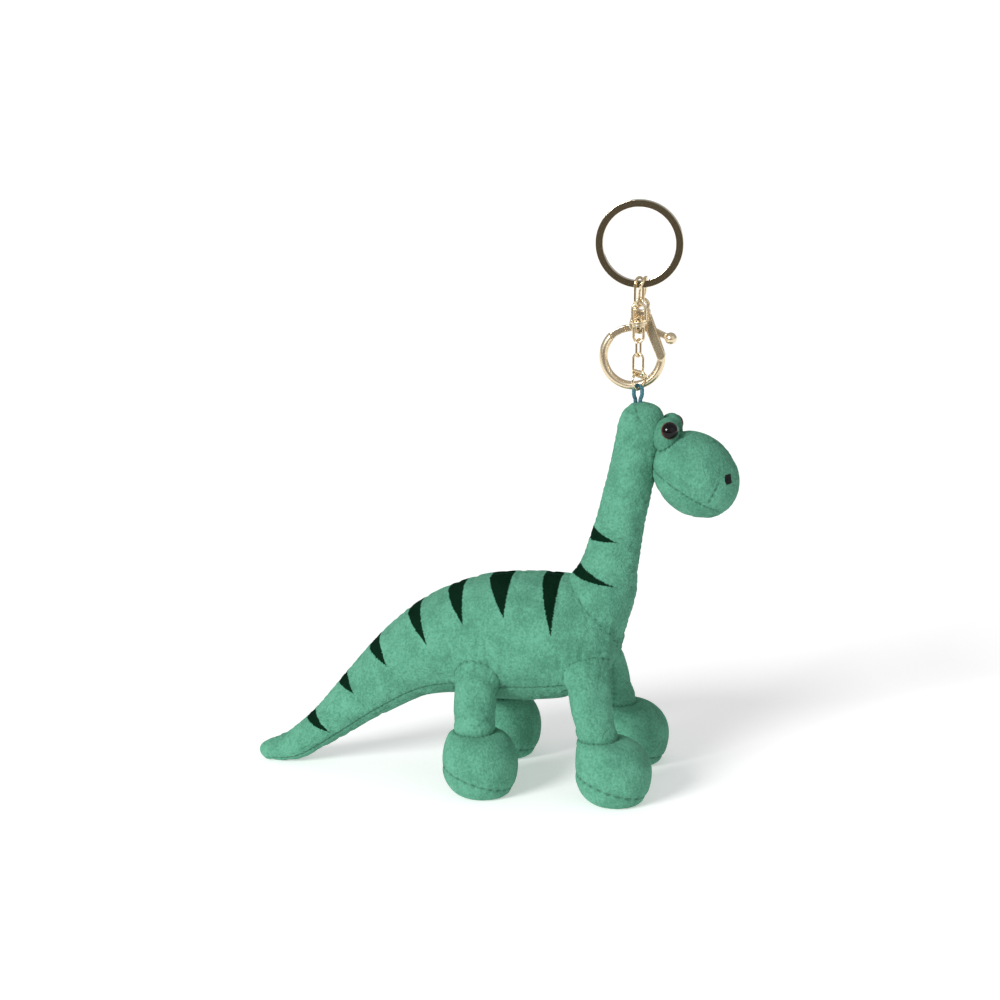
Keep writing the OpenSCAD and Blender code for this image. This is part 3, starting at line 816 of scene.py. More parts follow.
@dataclass(frozen=True)
class Plush:
    """Short cut pile with printed stripes.

    Attributes:
        name: Name of the material.
        light: Colour of the tips of the pile.
        dark: Colour between the tufts.
        print_colour: Colour of the stripes.
        sheen: Weight of the soft edge light.
        gloss: Specular level.
        stripes: Printed thorns.
        stray: How far the pile carries the edge of the print, in metres.
    """

    name: str
    light: tuple[float, float, float]
    dark: tuple[float, float, float]
    print_colour: tuple[float, float, float] = (0.0004, 0.0085, 0.0025)
    sheen: float = 0.2
    gloss: float = 0.12
    stripes: tuple[Stripe, ...] = ()
    stray: float = 0.0011

    def build(self) -> bpy.types.Material:
        """Material: mottled pile colour, stripes with rough edges, painted shade along the seams and a fine
        nap.
        """
        g = Graph(self.name)
        tufts = g.noise(1150.0, 3.0, 0.65)
        patches = g.noise(140.0)
        grain = g.noise(3200.0)
        tone = g.math("ADD", g.math("MULTIPLY", tufts, 0.62), g.math("MULTIPLY", patches, 0.38))
        tone = g.math("ADD", tone, g.math("MULTIPLY", g.math("SUBTRACT", grain, 0.5), 0.25))
        colour = g.mix(g.band(tone, 0.36, 0.64), self.dark, self.light)
        sheen, gloss = self.sheen, self.gloss
        if self.stripes:
            printed = self.mask(g)
            colour = g.mix(printed, colour, self.print_colour)
            bare = g.math("SUBTRACT", 1.0, printed)
            sheen = g.math("MULTIPLY", bare, self.sheen)
            gloss = g.math("MULTIPLY", bare, self.gloss)
        # Painted shade along the seams: the pile darkens towards a third of its darker colour.
        seam = g.node("ShaderNodeAttribute", attribute_name="seam").outputs["Fac"]
        shade = tuple(0.3 * c for c in self.dark)
        nap = g.bump(tufts, 0.0006, 0.9)
        return g.surface({
            "Base Color": g.mix(g.math("MULTIPLY", seam, 0.85), colour, shade),
            "Roughness": 0.92,
            "Specular IOR Level": gloss,
            "Sheen Weight": sheen,
            "Sheen Roughness": 0.45,
            "Sheen Tint": (0.35, 0.85, 0.6, 1.0),
            "Normal": g.bump(grain, 0.00026, 0.9, nap),
        })

    def mask(self, g: Graph) -> bpy.types.NodeSocket:
        """Cover of the stripes, softened by the pile.

        The depth inside a stripe is the least of the depths inside its three edges, and the
        greatest of the stripes' depths counts.

        Args:
            g: Graph of the material.

        Returns:
            Socket that is 0 on bare pile and near 1 on the print.
        """
        shake = g.vector("SUBTRACT", g.noise(1500.0, output="Color"), (0.5, 0.5, 0.5))
        where = g.vector("ADD", g.coords, g.vector("MULTIPLY", shake, (self.stray, 0.0, self.stray)))
        depths = []
        for stripe in self.stripes:
            inside = [
                g.math("SUBTRACT", g.vector("DOT_PRODUCT", where, normal, "Value"), offset)
                for normal, offset in stripe.edges()
            ]
            depths.append(g.fold("MINIMUM", inside))
        return g.math("MULTIPLY", g.band(g.fold("MAXIMUM", depths), -0.00018, 0.0002), 0.97)


@dataclass(frozen=True)
class Metal:
    """Polished pale gold plating with faint waviness and rubbed spots."""

    name: str
    colour: tuple[float, float, float]
    worn: tuple[float, float, float]
    roughness: float = 0.13

    def build(self) -> bpy.types.Material:
        """Material: metal whose roughness and tone drift slightly, with a hint of orange peel."""
        g = Graph(self.name)
        spots = g.noise(900.0, 3.0)
        fine = g.noise(5200.0)
        return g.surface({
            "Base Color": g.mix(g.band(spots, 0.45, 0.8), self.colour, self.worn),
            "Roughness": g.math("ADD", g.math("MULTIPLY", fine, 0.08), self.roughness - 0.04),
            "Metallic": 1.0,
            "Normal": g.bump(spots, 0.00004, 0.35),
        })


@dataclass(frozen=True)
class EyeGloss:
    """Black domed eye with a brown rim; the rim is what lies near the eye's seat along its axis."""

    name: str
    seats: tuple[tuple[float, float, float], ...]
    axes: tuple[tuple[float, float, float], ...]

    def build(self) -> bpy.types.Material:
        """Material: black gloss, brown where the depth above the seat is small."""
        g = Graph(self.name)
        rims = []
        for seat, axis in zip(self.seats, self.axes):
            rel = g.vector("SUBTRACT", g.coords, seat)
            high = g.vector("DOT_PRODUCT", rel, axis, "Value")
            far = g.vector("LENGTH", rel, (0, 0, 0), "Value")
            rims.append(g.math("MULTIPLY", g.band(high, 0.00095, 0.0007), g.band(far, 0.006, 0.005)))
        flecks = g.noise(2500.0)
        brown = g.mix(flecks, (0.07, 0.016, 0.008), (0.14, 0.036, 0.018))
        return g.surface({
            "Base Color": g.mix(g.fold("MAXIMUM", rims), (0.0035, 0.0025, 0.003), brown),
            "Roughness": g.math("ADD", g.math("MULTIPLY", flecks, 0.04), 0.05),
            "Specular IOR Level": 0.28,
        })


@dataclass(frozen=True)
class Thread:
    """Thread or cord with fine fibres."""

    name: str
    light: tuple[float, float, float]
    dark: tuple[float, float, float]
    roughness: float = 0.5
    sheen: float = 0.3
    fineness: float = 2600.0

    def build(self) -> bpy.types.Material:
        """Material: fibres as fine noise, with sheen."""
        g = Graph(self.name)
        fibres = g.noise(self.fineness, 3.0, 0.7)
        return g.surface({
            "Base Color": g.mix(g.band(fibres, 0.35, 0.7), self.dark, self.light),
            "Roughness": self.roughness,
            "Specular IOR Level": 0.15,
            "Sheen Weight": self.sheen,
            "Normal": g.bump(fibres, 0.0001, 0.6),
        })


@dataclass(frozen=True)
class Plain:
    """Moulded plastic with a faint grain."""

    name: str
    colour: tuple[float, float, float]
    roughness: float

    def build(self) -> bpy.types.Material:
        """Material: nearly even colour with a slight grain."""
        g = Graph(self.name)
        grain = g.noise(1500.0)
        darker = tuple(0.85 * c for c in self.colour)
        return g.surface({
            "Base Color": g.mix(grain, darker, self.colour),
            "Roughness": self.roughness,
            "Normal": g.bump(grain, 0.0001, 0.3),
        })


# ---------------------------------------------------------------- the toy

TRUNK = [
    [-85.4, 2.6, 1.6, 1.6], [-84.2, 3.1, 3.0, 3.0], [-81.0, 4.0, 3.9, 4.0], [-76.5, 5.0, 4.8, 4.9],
    [-70.5, 7.6, 5.7, 5.7], [-59.5, 16.0, 7.1, 7.2], [-45, 28.8, 10.3, 10.2], [-30, 40.6, 14.2, 13.8],
    [-16, 47.6, 18.3, 17.2], [-2, 50.6, 21.6, 19.4], [12, 51.8, 22.6, 20.4], [26, 52.4, 21.6, 20.0],
    [36, 52.0, 17.8, 17.2], [42, 51.6, 11.4, 12.0], [44.4, 51.4, 5.5, 6.4], [45, 51.4, 1.4, 1.6],
]
NECK = [
    [33, 53, 12.4, 13.0], [36.6, 62.5, 12.3, 13.0], [39.6, 71, 11.6, 12.0], [41.6, 78.5, 9.9, 10.2],
    [43.4, 86, 9.1, 9.1], [45.4, 95, 8.4, 8.5], [47.4, 104, 8.2, 8.2], [49.2, 112.5, 8.0, 8.2],
    [50.7, 121, 7.8, 8.2], [52.0, 128, 7.8, 8.0], [52.7, 132.6, 6.8, 6.8], [52.9, 135.2, 4.6, 4.6],
    [53, 136.2, 1.4, 1.4],
]


@dataclass(frozen=True)
class Foot:
    """Round foot with a flat sole, up to its ankle seam.

    Attributes:
        centre_y: Distance of its centre from the middle.
        belly_z: Height of its widest place.
        belly_r: Radius at its widest place.
        sole_r: Radius of the flat sole.
        ankle_r: Radius at the ankle seam.
        rise: Height of the upper half.
        lean: How far the sole lies in front of the centre.
        ends_r: Radius at which the skin closes.
    """

    centre_y: float = 23.0
    belly_z: float = 11.0
    belly_r: float = 13.0
    sole_r: float = 6.0
    ankle_r: float = 7.0
    rise: float = 11.5
    lean: float = 1.3
    ends_r: float = 0.4

    def stations(self, centre_x: float, ankle: tuple[float, float], side: Side) -> np.ndarray:
        """Heights, centres and radii from the sole up to the ankle seam.

        The lower half swells as a quarter circle from the flat to the widest place, and the
        upper half draws in to the ankle while its centre moves over to the leg's.

        Args:
            centre_x: X of the centre at the widest place.
            ankle: Centre of the ankle seam as x and distance from the middle.
            side: Side of the toy.

        Returns:
            Rows of height z, centre x, centre y and radius.
        """
        a = np.radians(np.linspace(0.0, 180.0, 121))
        up = a > math.pi / 2
        base = np.where(up, self.ankle_r, self.sole_r)
        shift = np.where(up, 1 - np.sin(a), 0.0)
        lean = np.where(up, 0.0, self.lean * (1 - np.sin(a)))
        z = self.belly_z - np.where(up, self.rise, self.belly_z) * np.cos(a)
        x = centre_x + lean + (ankle[0] - centre_x) * shift
        y = side.value * (self.centre_y + (ankle[1] - self.centre_y) * shift)
        r = base + (self.belly_r - base) * np.sin(a)
        top = self.belly_z + self.rise - 0.1
        sole = np.array([[0.0, centre_x + self.lean, side.value * self.centre_y, self.ends_r]])
        close = np.array([[top, ankle[0], side.value * ankle[1], self.ends_r]])
        return np.vstack([sole, np.stack([z, x, y, r], axis=1), close])


@dataclass
class Toy:
    """The stuffed toy: trunk, neck, muzzle, brows, four legs and four feet.

    Attributes:
        stuffing: How the covers are stuffed.
        ankle: Centre of the ankle seam as x and distance from the middle, for each pair.
        feet: X of a foot's centre, for each pair.
        legs: Stations above the ankle seam for each pair.
        gusset: Half angle of the belly panel, in degrees from the lowest line.
    """

    stuffing: Stuffing = Stuffing()
    ankle: dict[Pair, tuple[float, float]] = field(
        default_factory=lambda: {Pair.HIND: (-2.0, 22.5), Pair.FORE: (41.4, 22.5)}
    )
    feet: dict[Pair, float] = field(default_factory=lambda: {Pair.HIND: 0.1, Pair.FORE: 47.0})
    legs: dict[Pair, list[list[float]]] = field(
        default_factory=lambda: {
            Pair.HIND: [
                [30, -2.1, 21, 7.2], [37, -2.1, 18, 7.4], [43, -2, 14.4, 7.5], [49, -2, 9.6, 6.6],
                [51.5, -2, 8, 0.5],
            ],
            Pair.FORE: [
                [30, 39.4, 21, 7.0], [37, 37.6, 18, 7.6], [43, 36, 14.4, 7.9], [49, 34, 9.6, 7.0],
                [51.5, 34, 8, 0.5],
            ],
        }
    )
    gusset: float = 48.0

    def __post_init__(self) -> None:
        """Make the forms that the covers share."""
        self.trunk = Bent(TRUNK, 257, 256)
        self.neck = Bent(NECK, 161, 128)
        self.muzzle = Ball((71.2, 0.0, 111.9), (16.1, 13.5, 13.4), 121, 176, 44.0)
        self.brow = {s: Ball((61.4, s.value * 4.2, 126.2), (4.3, 4.5, 6.1), 57, 72, 12.0) for s in Side}
        places = [(p, s) for p in Pair for s in Side]
        self.limb = {(p, s): Limb(self.leg_stations(p, s), 81, 104) for p, s in places}
        soles = {(p, s): Foot().stations(self.feet[p], self.ankle[p], s) for p, s in places}
        self.foot = {place: Limb(stations, 113, 160) for place, stations in soles.items()}

    def leg_stations(self, pair: Pair, side: Side) -> np.ndarray:
        """Smooth stations of a leg, from just inside the foot to inside the trunk."""
        x, y = self.ankle[pair]
        rows = [[21.5, x, y, 0.5], [21.9, x, y, 6.4], [22.6, x, y, 7.0], *self.legs[pair]]
        path = np.array(rows, float)
        path[:, 2] *= side.value
        return catmull_rom(path, 16)

    def finish(
        self, skin: Skin, near: np.ndarray, name: str, material: bpy.types.Material, nodes: list[str]
    ) -> None:
        """Show a finished cover as a padded piece.

        Args:
            skin: The cover, stuffed and sewn.
            near: Seam strength at each ring point, which paints shade on the pile along the seams.
            name: Name of the piece.
            material: Its material.
            nodes: Nodes of the frame that it stands for.
        """
        mesh = skin.mesh(name)
        strength = mesh.attributes.new("seam", "FLOAT", "POINT")
        strength.data.foreach_set("value", np.concatenate([near, [0.0, 0.0]]).astype(np.float32))
        piece = settle(show(mesh), "toy", material, nodes)

    def build(self, finishes: dict[str, bpy.types.Material]) -> None:
        """Make every cover of the toy."""
        self.build_trunk(finishes["trunk"])
        self.build_neck(finishes["neck"])
        self.build_head(finishes["plush"], finishes["brow"])
        for pair in Pair:
            for side in Side:
                self.build_limb(pair, side, finishes["plush"])

    def leg_join(self, pair: Pair, side: Side, other: Form) -> Join:
        """Seam between the trunk and a leg."""
        x = self.legs[pair][1][1]
        seed = 1.0 + 2.3 * side.value + (5.1 if pair is Pair.FORE else 0.0)
        return Join(other, (x, side.value * 15.0, 38.0), (0.1, side.value * 1.0, -0.4), 3.4, 0.6, 0.34, seed)

    def build_trunk(self, material: bpy.types.Material) -> None:
        """Trunk and tail: two flanks that meet on the back, and the belly panel."""
        trunk = self.trunk
        radius = np.minimum(trunk.path[:, 2], trunk.path[:, 3])

        def gate(p: np.ndarray) -> np.ndarray:
            """1 along the trunk, falling to 0 at the tail's tip and at the chest."""
            return fade(p[:, 0], -84.0, 3.0) * fade(p[:, 0], 43.0, -3.0)

        seams: list[Join | Crease] = [
            trunk.lengthwise(degrees, radius, 0.74, gate, *shape)
            for degrees, shape in (
                (self.gusset, (0.5, 0.42, 0.2, 2.6, 0.4)),
                (360 - self.gusset, (0.5, 0.42, 0.2, 2.6, 1.9)),
                (180, (0.3, 0.4, 0.14, 2.2, 3.3)),
            )
        ]
        seams.append(Join(self.neck, (38.0, 0.0, 62.0), (0.4, 0.0, 1.0), 4.4, 0.62, 0.26, 0.7))
        for (pair, side), limb in self.limb.items():
            seams.append(self.leg_join(pair, side, limb))
        skin, near = sew(Skin(trunk.rings()), seams, self.stuffing)
        nodes = ["right_flank", "left_flank", "belly_gusset", "trunk_fill"]
        self.finish(skin, near, "trunk_plush", material, nodes)

    def build_neck(self, material: bpy.types.Material) -> None:
        """Neck up to the crown: two halves that meet at the throat and the nape."""
        neck = self.neck
        radius = neck.path[:, 3]

        def dart(p: np.ndarray) -> np.ndarray:
            """Distance from the crown's dart, which leans back as it rises."""
            return p[:, 0] - 50.4 - (135.8 - p[:, 2]) * 0.42

        def dart_gate(p: np.ndarray) -> np.ndarray:
            """1 on both sides of the crown, and 0 below it and at the middle."""
            return fade(p[:, 2], 130.2, 1.2) * (np.abs(p[:, 1]) > 1.2)

        seams: list[Join | Crease] = [
            Join(self.trunk, (38.0, 0.0, 62.0), (0.4, 0.0, 1.0), 4.4, 0.62, 0.26, 0.7),
            Join(self.muzzle, (60.0, 0.0, 115.0), (1.0, 0.0, 0.1), 2.2, 0.6, 0.2, 1.1),
            neck.lengthwise(0, radius, 0.75, None, 0.35, 0.4, 0.12, 2.2, 0.9),
            neck.lengthwise(180, radius, 0.75, None, 0.3, 0.4, 0.1, 2.0, 2.9),
            Crease(dart, lambda p: p[:, 2], dart_gate, 0.4, 0.36, 0.2, 2.4, 4.0),
        ]
        seams += [self.brow_join(side, ball, 2.4, 0.3, 0.1, 2.0) for side, ball in self.brow.items()]
        skin, near = sew(Skin(neck.rings()), seams, self.stuffing)
        self.finish(skin, near, "neck_plush", material, ["neck_right", "neck_left", "neck_fill"])

    def brow_join(self, side: Side, other: Form, *shape: float) -> Join:
        """Seam round a brow pad; the shape is its fillet, depth, gather and seed."""
        return Join(other, self.brow[side].centre, (0.2, side.value * 1.0, 0.3), *shape)

    def build_head(self, material: bpy.types.Material, darker: bpy.types.Material) -> None:
        """Muzzle with its jaw seam, mouth dart and bridge seam, and the two brow pads."""

        def jaw(p: np.ndarray) -> np.ndarray:
            """Height above the jaw seam, which falls towards the snout."""
            return (p[:, 2] - 113.4) + (p[:, 0] - 57.9) * 0.58

        def mouth(p: np.ndarray) -> np.ndarray:
            """Distance in front of the mouth's dart."""
            return (p[:, 0] - 77.0) * 0.9 - (p[:, 2] - 104.4) * 0.44

        def mouth_gate(p: np.ndarray) -> np.ndarray:
            """1 over the dart's length on the front of the muzzle."""
            return fade(p[:, 2], 103.6, 1.0) * fade(p[:, 2], 112.6, -2.0) * (p[:, 0] > 70)

        def jaw_run(p: np.ndarray) -> np.ndarray:
            """Length along the jaw seam."""
            return p[:, 0] * 1.2 + p[:, 1]

        def jaw_gate(p: np.ndarray) -> np.ndarray:
            """1 on the jaw, and 0 on the snout's front."""
            return fade(p[:, 0], 80.5, -2.0)

        def bridge_run(p: np.ndarray) -> np.ndarray:
            """Length along the seam over the bridge of the muzzle."""
            return p[:, 0] + p[:, 2]

        def bridge_gate(p: np.ndarray) -> np.ndarray:
            """1 over the bridge, and 0 under the chin."""
            return fade(p[:, 2], 104.0, 4.0)

        seams: list[Join | Crease] = [
            Join(self.neck, (60.0, 0.0, 115.0), (1.0, 0.0, 0.1), 2.2, 0.6, 0.3, 1.1),
            Crease(jaw, jaw_run, jaw_gate, 0.42, 0.4, 0.2, 2.6, 0.3),
            Crease(mouth, lambda p: p[:, 2], mouth_gate, 0.35, 0.4, 0.16, 1.8, 1.3),
            Crease(lambda p: p[:, 1], bridge_run, bridge_gate, 0.22, 0.38, 0.08, 1.8, 5.0),
        ]
        seams += [self.brow_join(side, ball, 1.8, 0.4, 0.1, 3.0) for side, ball in self.brow.items()]
        skin, near = sew(Skin(self.muzzle.rings()), seams, self.stuffing)
        self.finish(skin, near, "muzzle_plush", material, ["muzzle_upper", "lower_jaw", "muzzle_fill"])
        for side, ball in self.brow.items():
            other = self.brow[Side.LEFT if side is Side.RIGHT else Side.RIGHT]
            seams = [
                self.brow_join(side, self.neck, 2.4, 0.3, 0.1, 2.0),
                self.brow_join(side, self.muzzle, 1.8, 0.35, 0.12, 3.0),
                Join(other, (62.0, 0.0, 127.0), (0.0, 1.0, 0.0), 1.2, 0.3, 0.1, 4.0),
            ]
            skin, near = sew(Skin(ball.rings()), seams, Stuffing(cap=0.2, pressure=2.0, slack=0.01))
            self.finish(skin, near, f"brow_{side.word}_plush", darker, [f"brow_{side.word}"])

    def build_limb(self, pair: Pair, side: Side, material: bpy.types.Material) -> None:
        """One leg and its foot with the sole's seam."""
        tag = f"{pair.value}_{side.word}"
        limb, foot = self.limb[pair, side], self.foot[pair, side]
        ankle_x, ankle_y = self.ankle[pair]
        centre = (ankle_x, side.value * ankle_y, 22.5)
        seed = 0.6 + 1.9 * side.value + (2.7 if pair is Pair.FORE else 0.0)

        def run(p: np.ndarray) -> np.ndarray:
            """Length round the ankle."""
            return np.arctan2(p[:, 1] - centre[1], p[:, 0] - centre[0]) * 9.0

        def hem(p: np.ndarray) -> np.ndarray:
            """Distance from the ankle seam's circle."""
            return np.hypot(p[:, 2] - 22.4, np.hypot(p[:, 0] - centre[0], p[:, 1] - centre[1]) - 7.0)

        def front(p: np.ndarray) -> np.ndarray:
            """Distance in front of the ankle's centre."""
            return p[:, 0] - centre[0]

        def inside(p: np.ndarray) -> np.ndarray:
            """1 on the leg's inner side."""
            return fade(p[:, 1] * side.value, centre[1] * side.value, -3.0)

        # The last numbers of the ankle and inner creases are the strengths of their painted shade.
        ankle = Crease(hem, run, None, 0.3, 0.45, 0.12, 2.6, seed, 0.7)
        inner = Crease(front, lambda p: p[:, 2], inside, 0.3, 0.4, 0.1, 2.0, seed + 1, 0.5)
        hip = self.leg_join(pair, side, self.trunk)
        skin, near = sew(Skin(limb.rings()), [ankle, inner, hip], self.stuffing)
        self.finish(skin, near, f"leg_{tag}_plush", material, [f"leg_{tag}"])
        x0 = self.feet[pair]

        def sole(p: np.ndarray) -> np.ndarray:
            """Height above the sole's seam, which falls towards the toes."""
            return p[:, 2] - 6.8 + (p[:, 0] - x0) * 0.32

        def sole_gate(p: np.ndarray) -> np.ndarray:
            """1 along the foot, and weak at its toe and heel."""
            return np.maximum(fade(np.abs(p[:, 0] - x0), 13.4, -1.0), 0.4)

        sole_seam = Crease(sole, run, sole_gate, 0.36, 0.45, 0.2, 2.6, seed + 2)
        skin, near = sew(Skin(foot.rings()), [ankle, sole_seam], self.stuffing)
        skin.rings[:, :, 2] = np.maximum(skin.rings[:, :, 2], 0.05)
        names = [f"foot_{tag}", f"sole_{tag}", f"fill_{tag}"]
        self.finish(skin, near, f"foot_{tag}_plush", material, names)


# ---------------------------------------------------------------- trims


def frames_along(path: np.ndarray) -> tuple[np.ndarray, np.ndarray, np.ndarray]:
    """Tangents, sides and ups along a path that lies near a plane.

    The side is the path's fixed plane normal made square to the tangent, and up is their
    cross product.

    Args:
        path: Points of the path.

    Returns:
        Unit tangents, sides and ups at the points.
    """
    tangent = np.gradient(path, axis=0)
    tangent /= np.linalg.norm(tangent, axis=1)[:, None]
    _, _, basis = np.linalg.svd(path - path.mean(axis=0))
    side = basis[2] - (tangent @ basis[2])[:, None] * tangent
    side /= np.linalg.norm(side, axis=1)[:, None]
    return tangent, side, np.cross(tangent, side)


def tube(path: np.ndarray, radius: np.ndarray | float, around: int) -> np.ndarray:
    """Rings of a round tube: the path plus radius times cosine of the side and sine of the up.

    Args:
        path: Points of the middle line.
        radius: Radius at each point, or the same everywhere.
        around: Points round a ring.

    Returns:
        Rings of the tube.
    """
    r = np.broadcast_to(radius, (len(path),))
    _, side, up = frames_along(path)
    a = np.linspace(0, 2 * math.pi, around, endpoint=False)[None, :, None]
    return path[:, None] + r[:, None, None] * (np.cos(a) * side[:, None] + np.sin(a) * up[:, None])


@dataclass
class Cord:
    """Braided cord loop out of the crown, over the jump ring.

    Attributes:
        x: Place of the loop along X.
        top: Height of the centre of the bend.
        bend: Radius of the bend's middle line.
        low: Height where the ends go into the crown.
        strands: Strands of the braid.
        pitch: Length of one turn of a strand.
        strand: Radius of a strand.
        core: Distance of the strands from the middle line.
        weave: How far they move out and in where they cross.
        close: Share by which the two sides move together below the ring.
    """

    x: float = 50.8
    top: float = 140.75
    bend: float = 1.42
    low: float = 132.5
    strands: int = 3
    pitch: float = 3.4
    strand: float = 0.32
    core: float = 0.38
    weave: float = 0.03
    close: float = 0.42

    def line(self, count: int) -> np.ndarray:
        """Middle line: up one side, half a circle over, and down the other."""
        straight = self.top - self.low
        arc = math.pi * self.bend
        s = np.linspace(0, 2 * straight + arc, count)
        a = np.clip((s - straight) / self.bend, 0, math.pi)
        below = np.maximum(straight - s, 0) + np.maximum(s - straight - arc, 0)
        deep = np.clip((below - 1.5) / 2.4, 0, 1)
        x = self.x - self.bend * np.cos(a) * (1 - self.close * deep**2 * (3 - 2 * deep))
        z = self.top + self.bend * np.sin(a) - below
        return np.stack([x, np.zeros(count), z], axis=1)

    def build(self, material: bpy.types.Material) -> None:
        """Strands wound round the middle line and joined as one piece."""
        line = self.line(260)
        _, side, up = frames_along(line)
        run = np.concatenate([[0], np.cumsum(np.linalg.norm(np.diff(line, axis=0), axis=1))])
        skins = []
        for number in range(self.strands):
            for way in (1, -1):
                turn = way * 2 * math.pi * run / self.pitch + 2 * math.pi * number / self.strands
                out = self.core + self.weave * way * np.cos(turn * self.strands)
                path = line + out[:, None] * (np.cos(turn)[:, None] * side + np.sin(turn)[:, None] * up)
                skins.append(Skin(tube(path, self.strand, 10)))
        settle(show(skins_to_mesh("cord_braid", skins)), "toy", material, ["cord_loop"])


@dataclass
class Nostrils:
    """Satin-stitched nostrils on the muzzle.

    Attributes:
        place: Direction of a nostril from the muzzle's centre, for the right side.
        threads: Stitches side by side.
        length: Length of a stitch.
        thick: Thickness of a stitch.
        spacing: Distance between two stitches.
    """

    place: tuple[float, float, float] = (0.82, -0.53, 0.03)
    threads: int = 8
    length: float = 3.3
    thick: float = 0.52
    spacing: float = 0.4

    def build(self, muzzle: Ball, material: bpy.types.Material) -> None:
        """Stitches that follow the muzzle: each an arch that dips into the pile at both ends."""
        for side in Side:
            d = np.array([self.place[0], -side.value * self.place[1], self.place[2]])
            d /= np.linalg.norm(d)
            across = np.cross([0.0, 0.0, 1.0], d)
            across /= np.linalg.norm(across)
            high = np.cross(d, across)
            skins = []
            for number in range(self.threads):
                row = (number - (self.threads - 1) / 2) * self.spacing
                share = 1 - 0.06 * (number % 3) - 0.2 * abs(row / 1.4) ** 3
                s = np.linspace(-0.5, 0.5, 25) * self.length * share
                slope = row + 0.12 * s
                spot = np.array(muzzle.centre) + 14.0 * d + s[:, None] * across + slope[:, None] * high
                rise = 0.28 - 0.75 * (2 * np.abs(s) / self.length) ** 4
                skins.append(Skin(tube(muzzle.onto(spot) + rise[:, None] * d, self.thick / 2, 10)))
            mesh = skins_to_mesh(f"nostril_{side.word}_stitches", skins)
            settle(show(mesh), "toy", material, [f"nostril_{side.word}"])


@dataclass(frozen=True)
class Casting:
    """Cast and tumbled metal piece: the frame's node with its edges worn round.

    Attributes:
        node: Node of the frame that the piece stands for.
        body: Body that it rides on.
        grain: Size of the cells of the new surface, in millimetres.
        passes: How many times each point is moved halfway to its neighbours' mean.
        finish: Name of its metal.
    """

    node: str
    body: str
    grain: float
    passes: int
    finish: str = "satin"

    def build(self, material: bpy.types.Material) -> None:
        """Skin the node's solid with even cells, and wear its edges by averaging neighbours."""
        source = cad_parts[self.node]
        mesh = source.data.copy()
        mesh.transform(source.matrix_world)
        rough = show(mesh)
        joined = rough.modifiers.new("join", "WELD")
        joined.merge_threshold = 1e-6
        cells = rough.modifiers.new("cells", "REMESH")
        cells.mode = "VOXEL"
        cells.voxel_size = self.grain * MM * 1.0
        wear = rough.modifiers.new("wear", "SMOOTH")
        wear.factor = 0.5
        wear.iterations = max(1, self.passes // (1))
        made = bpy.data.meshes.new_from_object(rough.evaluated_get(bpy.context.evaluated_depsgraph_get()))
        bpy.data.objects.remove(rough)
        made.name = f"{self.node}_cast"
        made.materials.clear()
        made.polygons.foreach_set("use_smooth", np.ones(len(made.polygons), bool))
        settle(show(made), self.body, material, [self.node])


# ---------------------------------------------------------------- studio


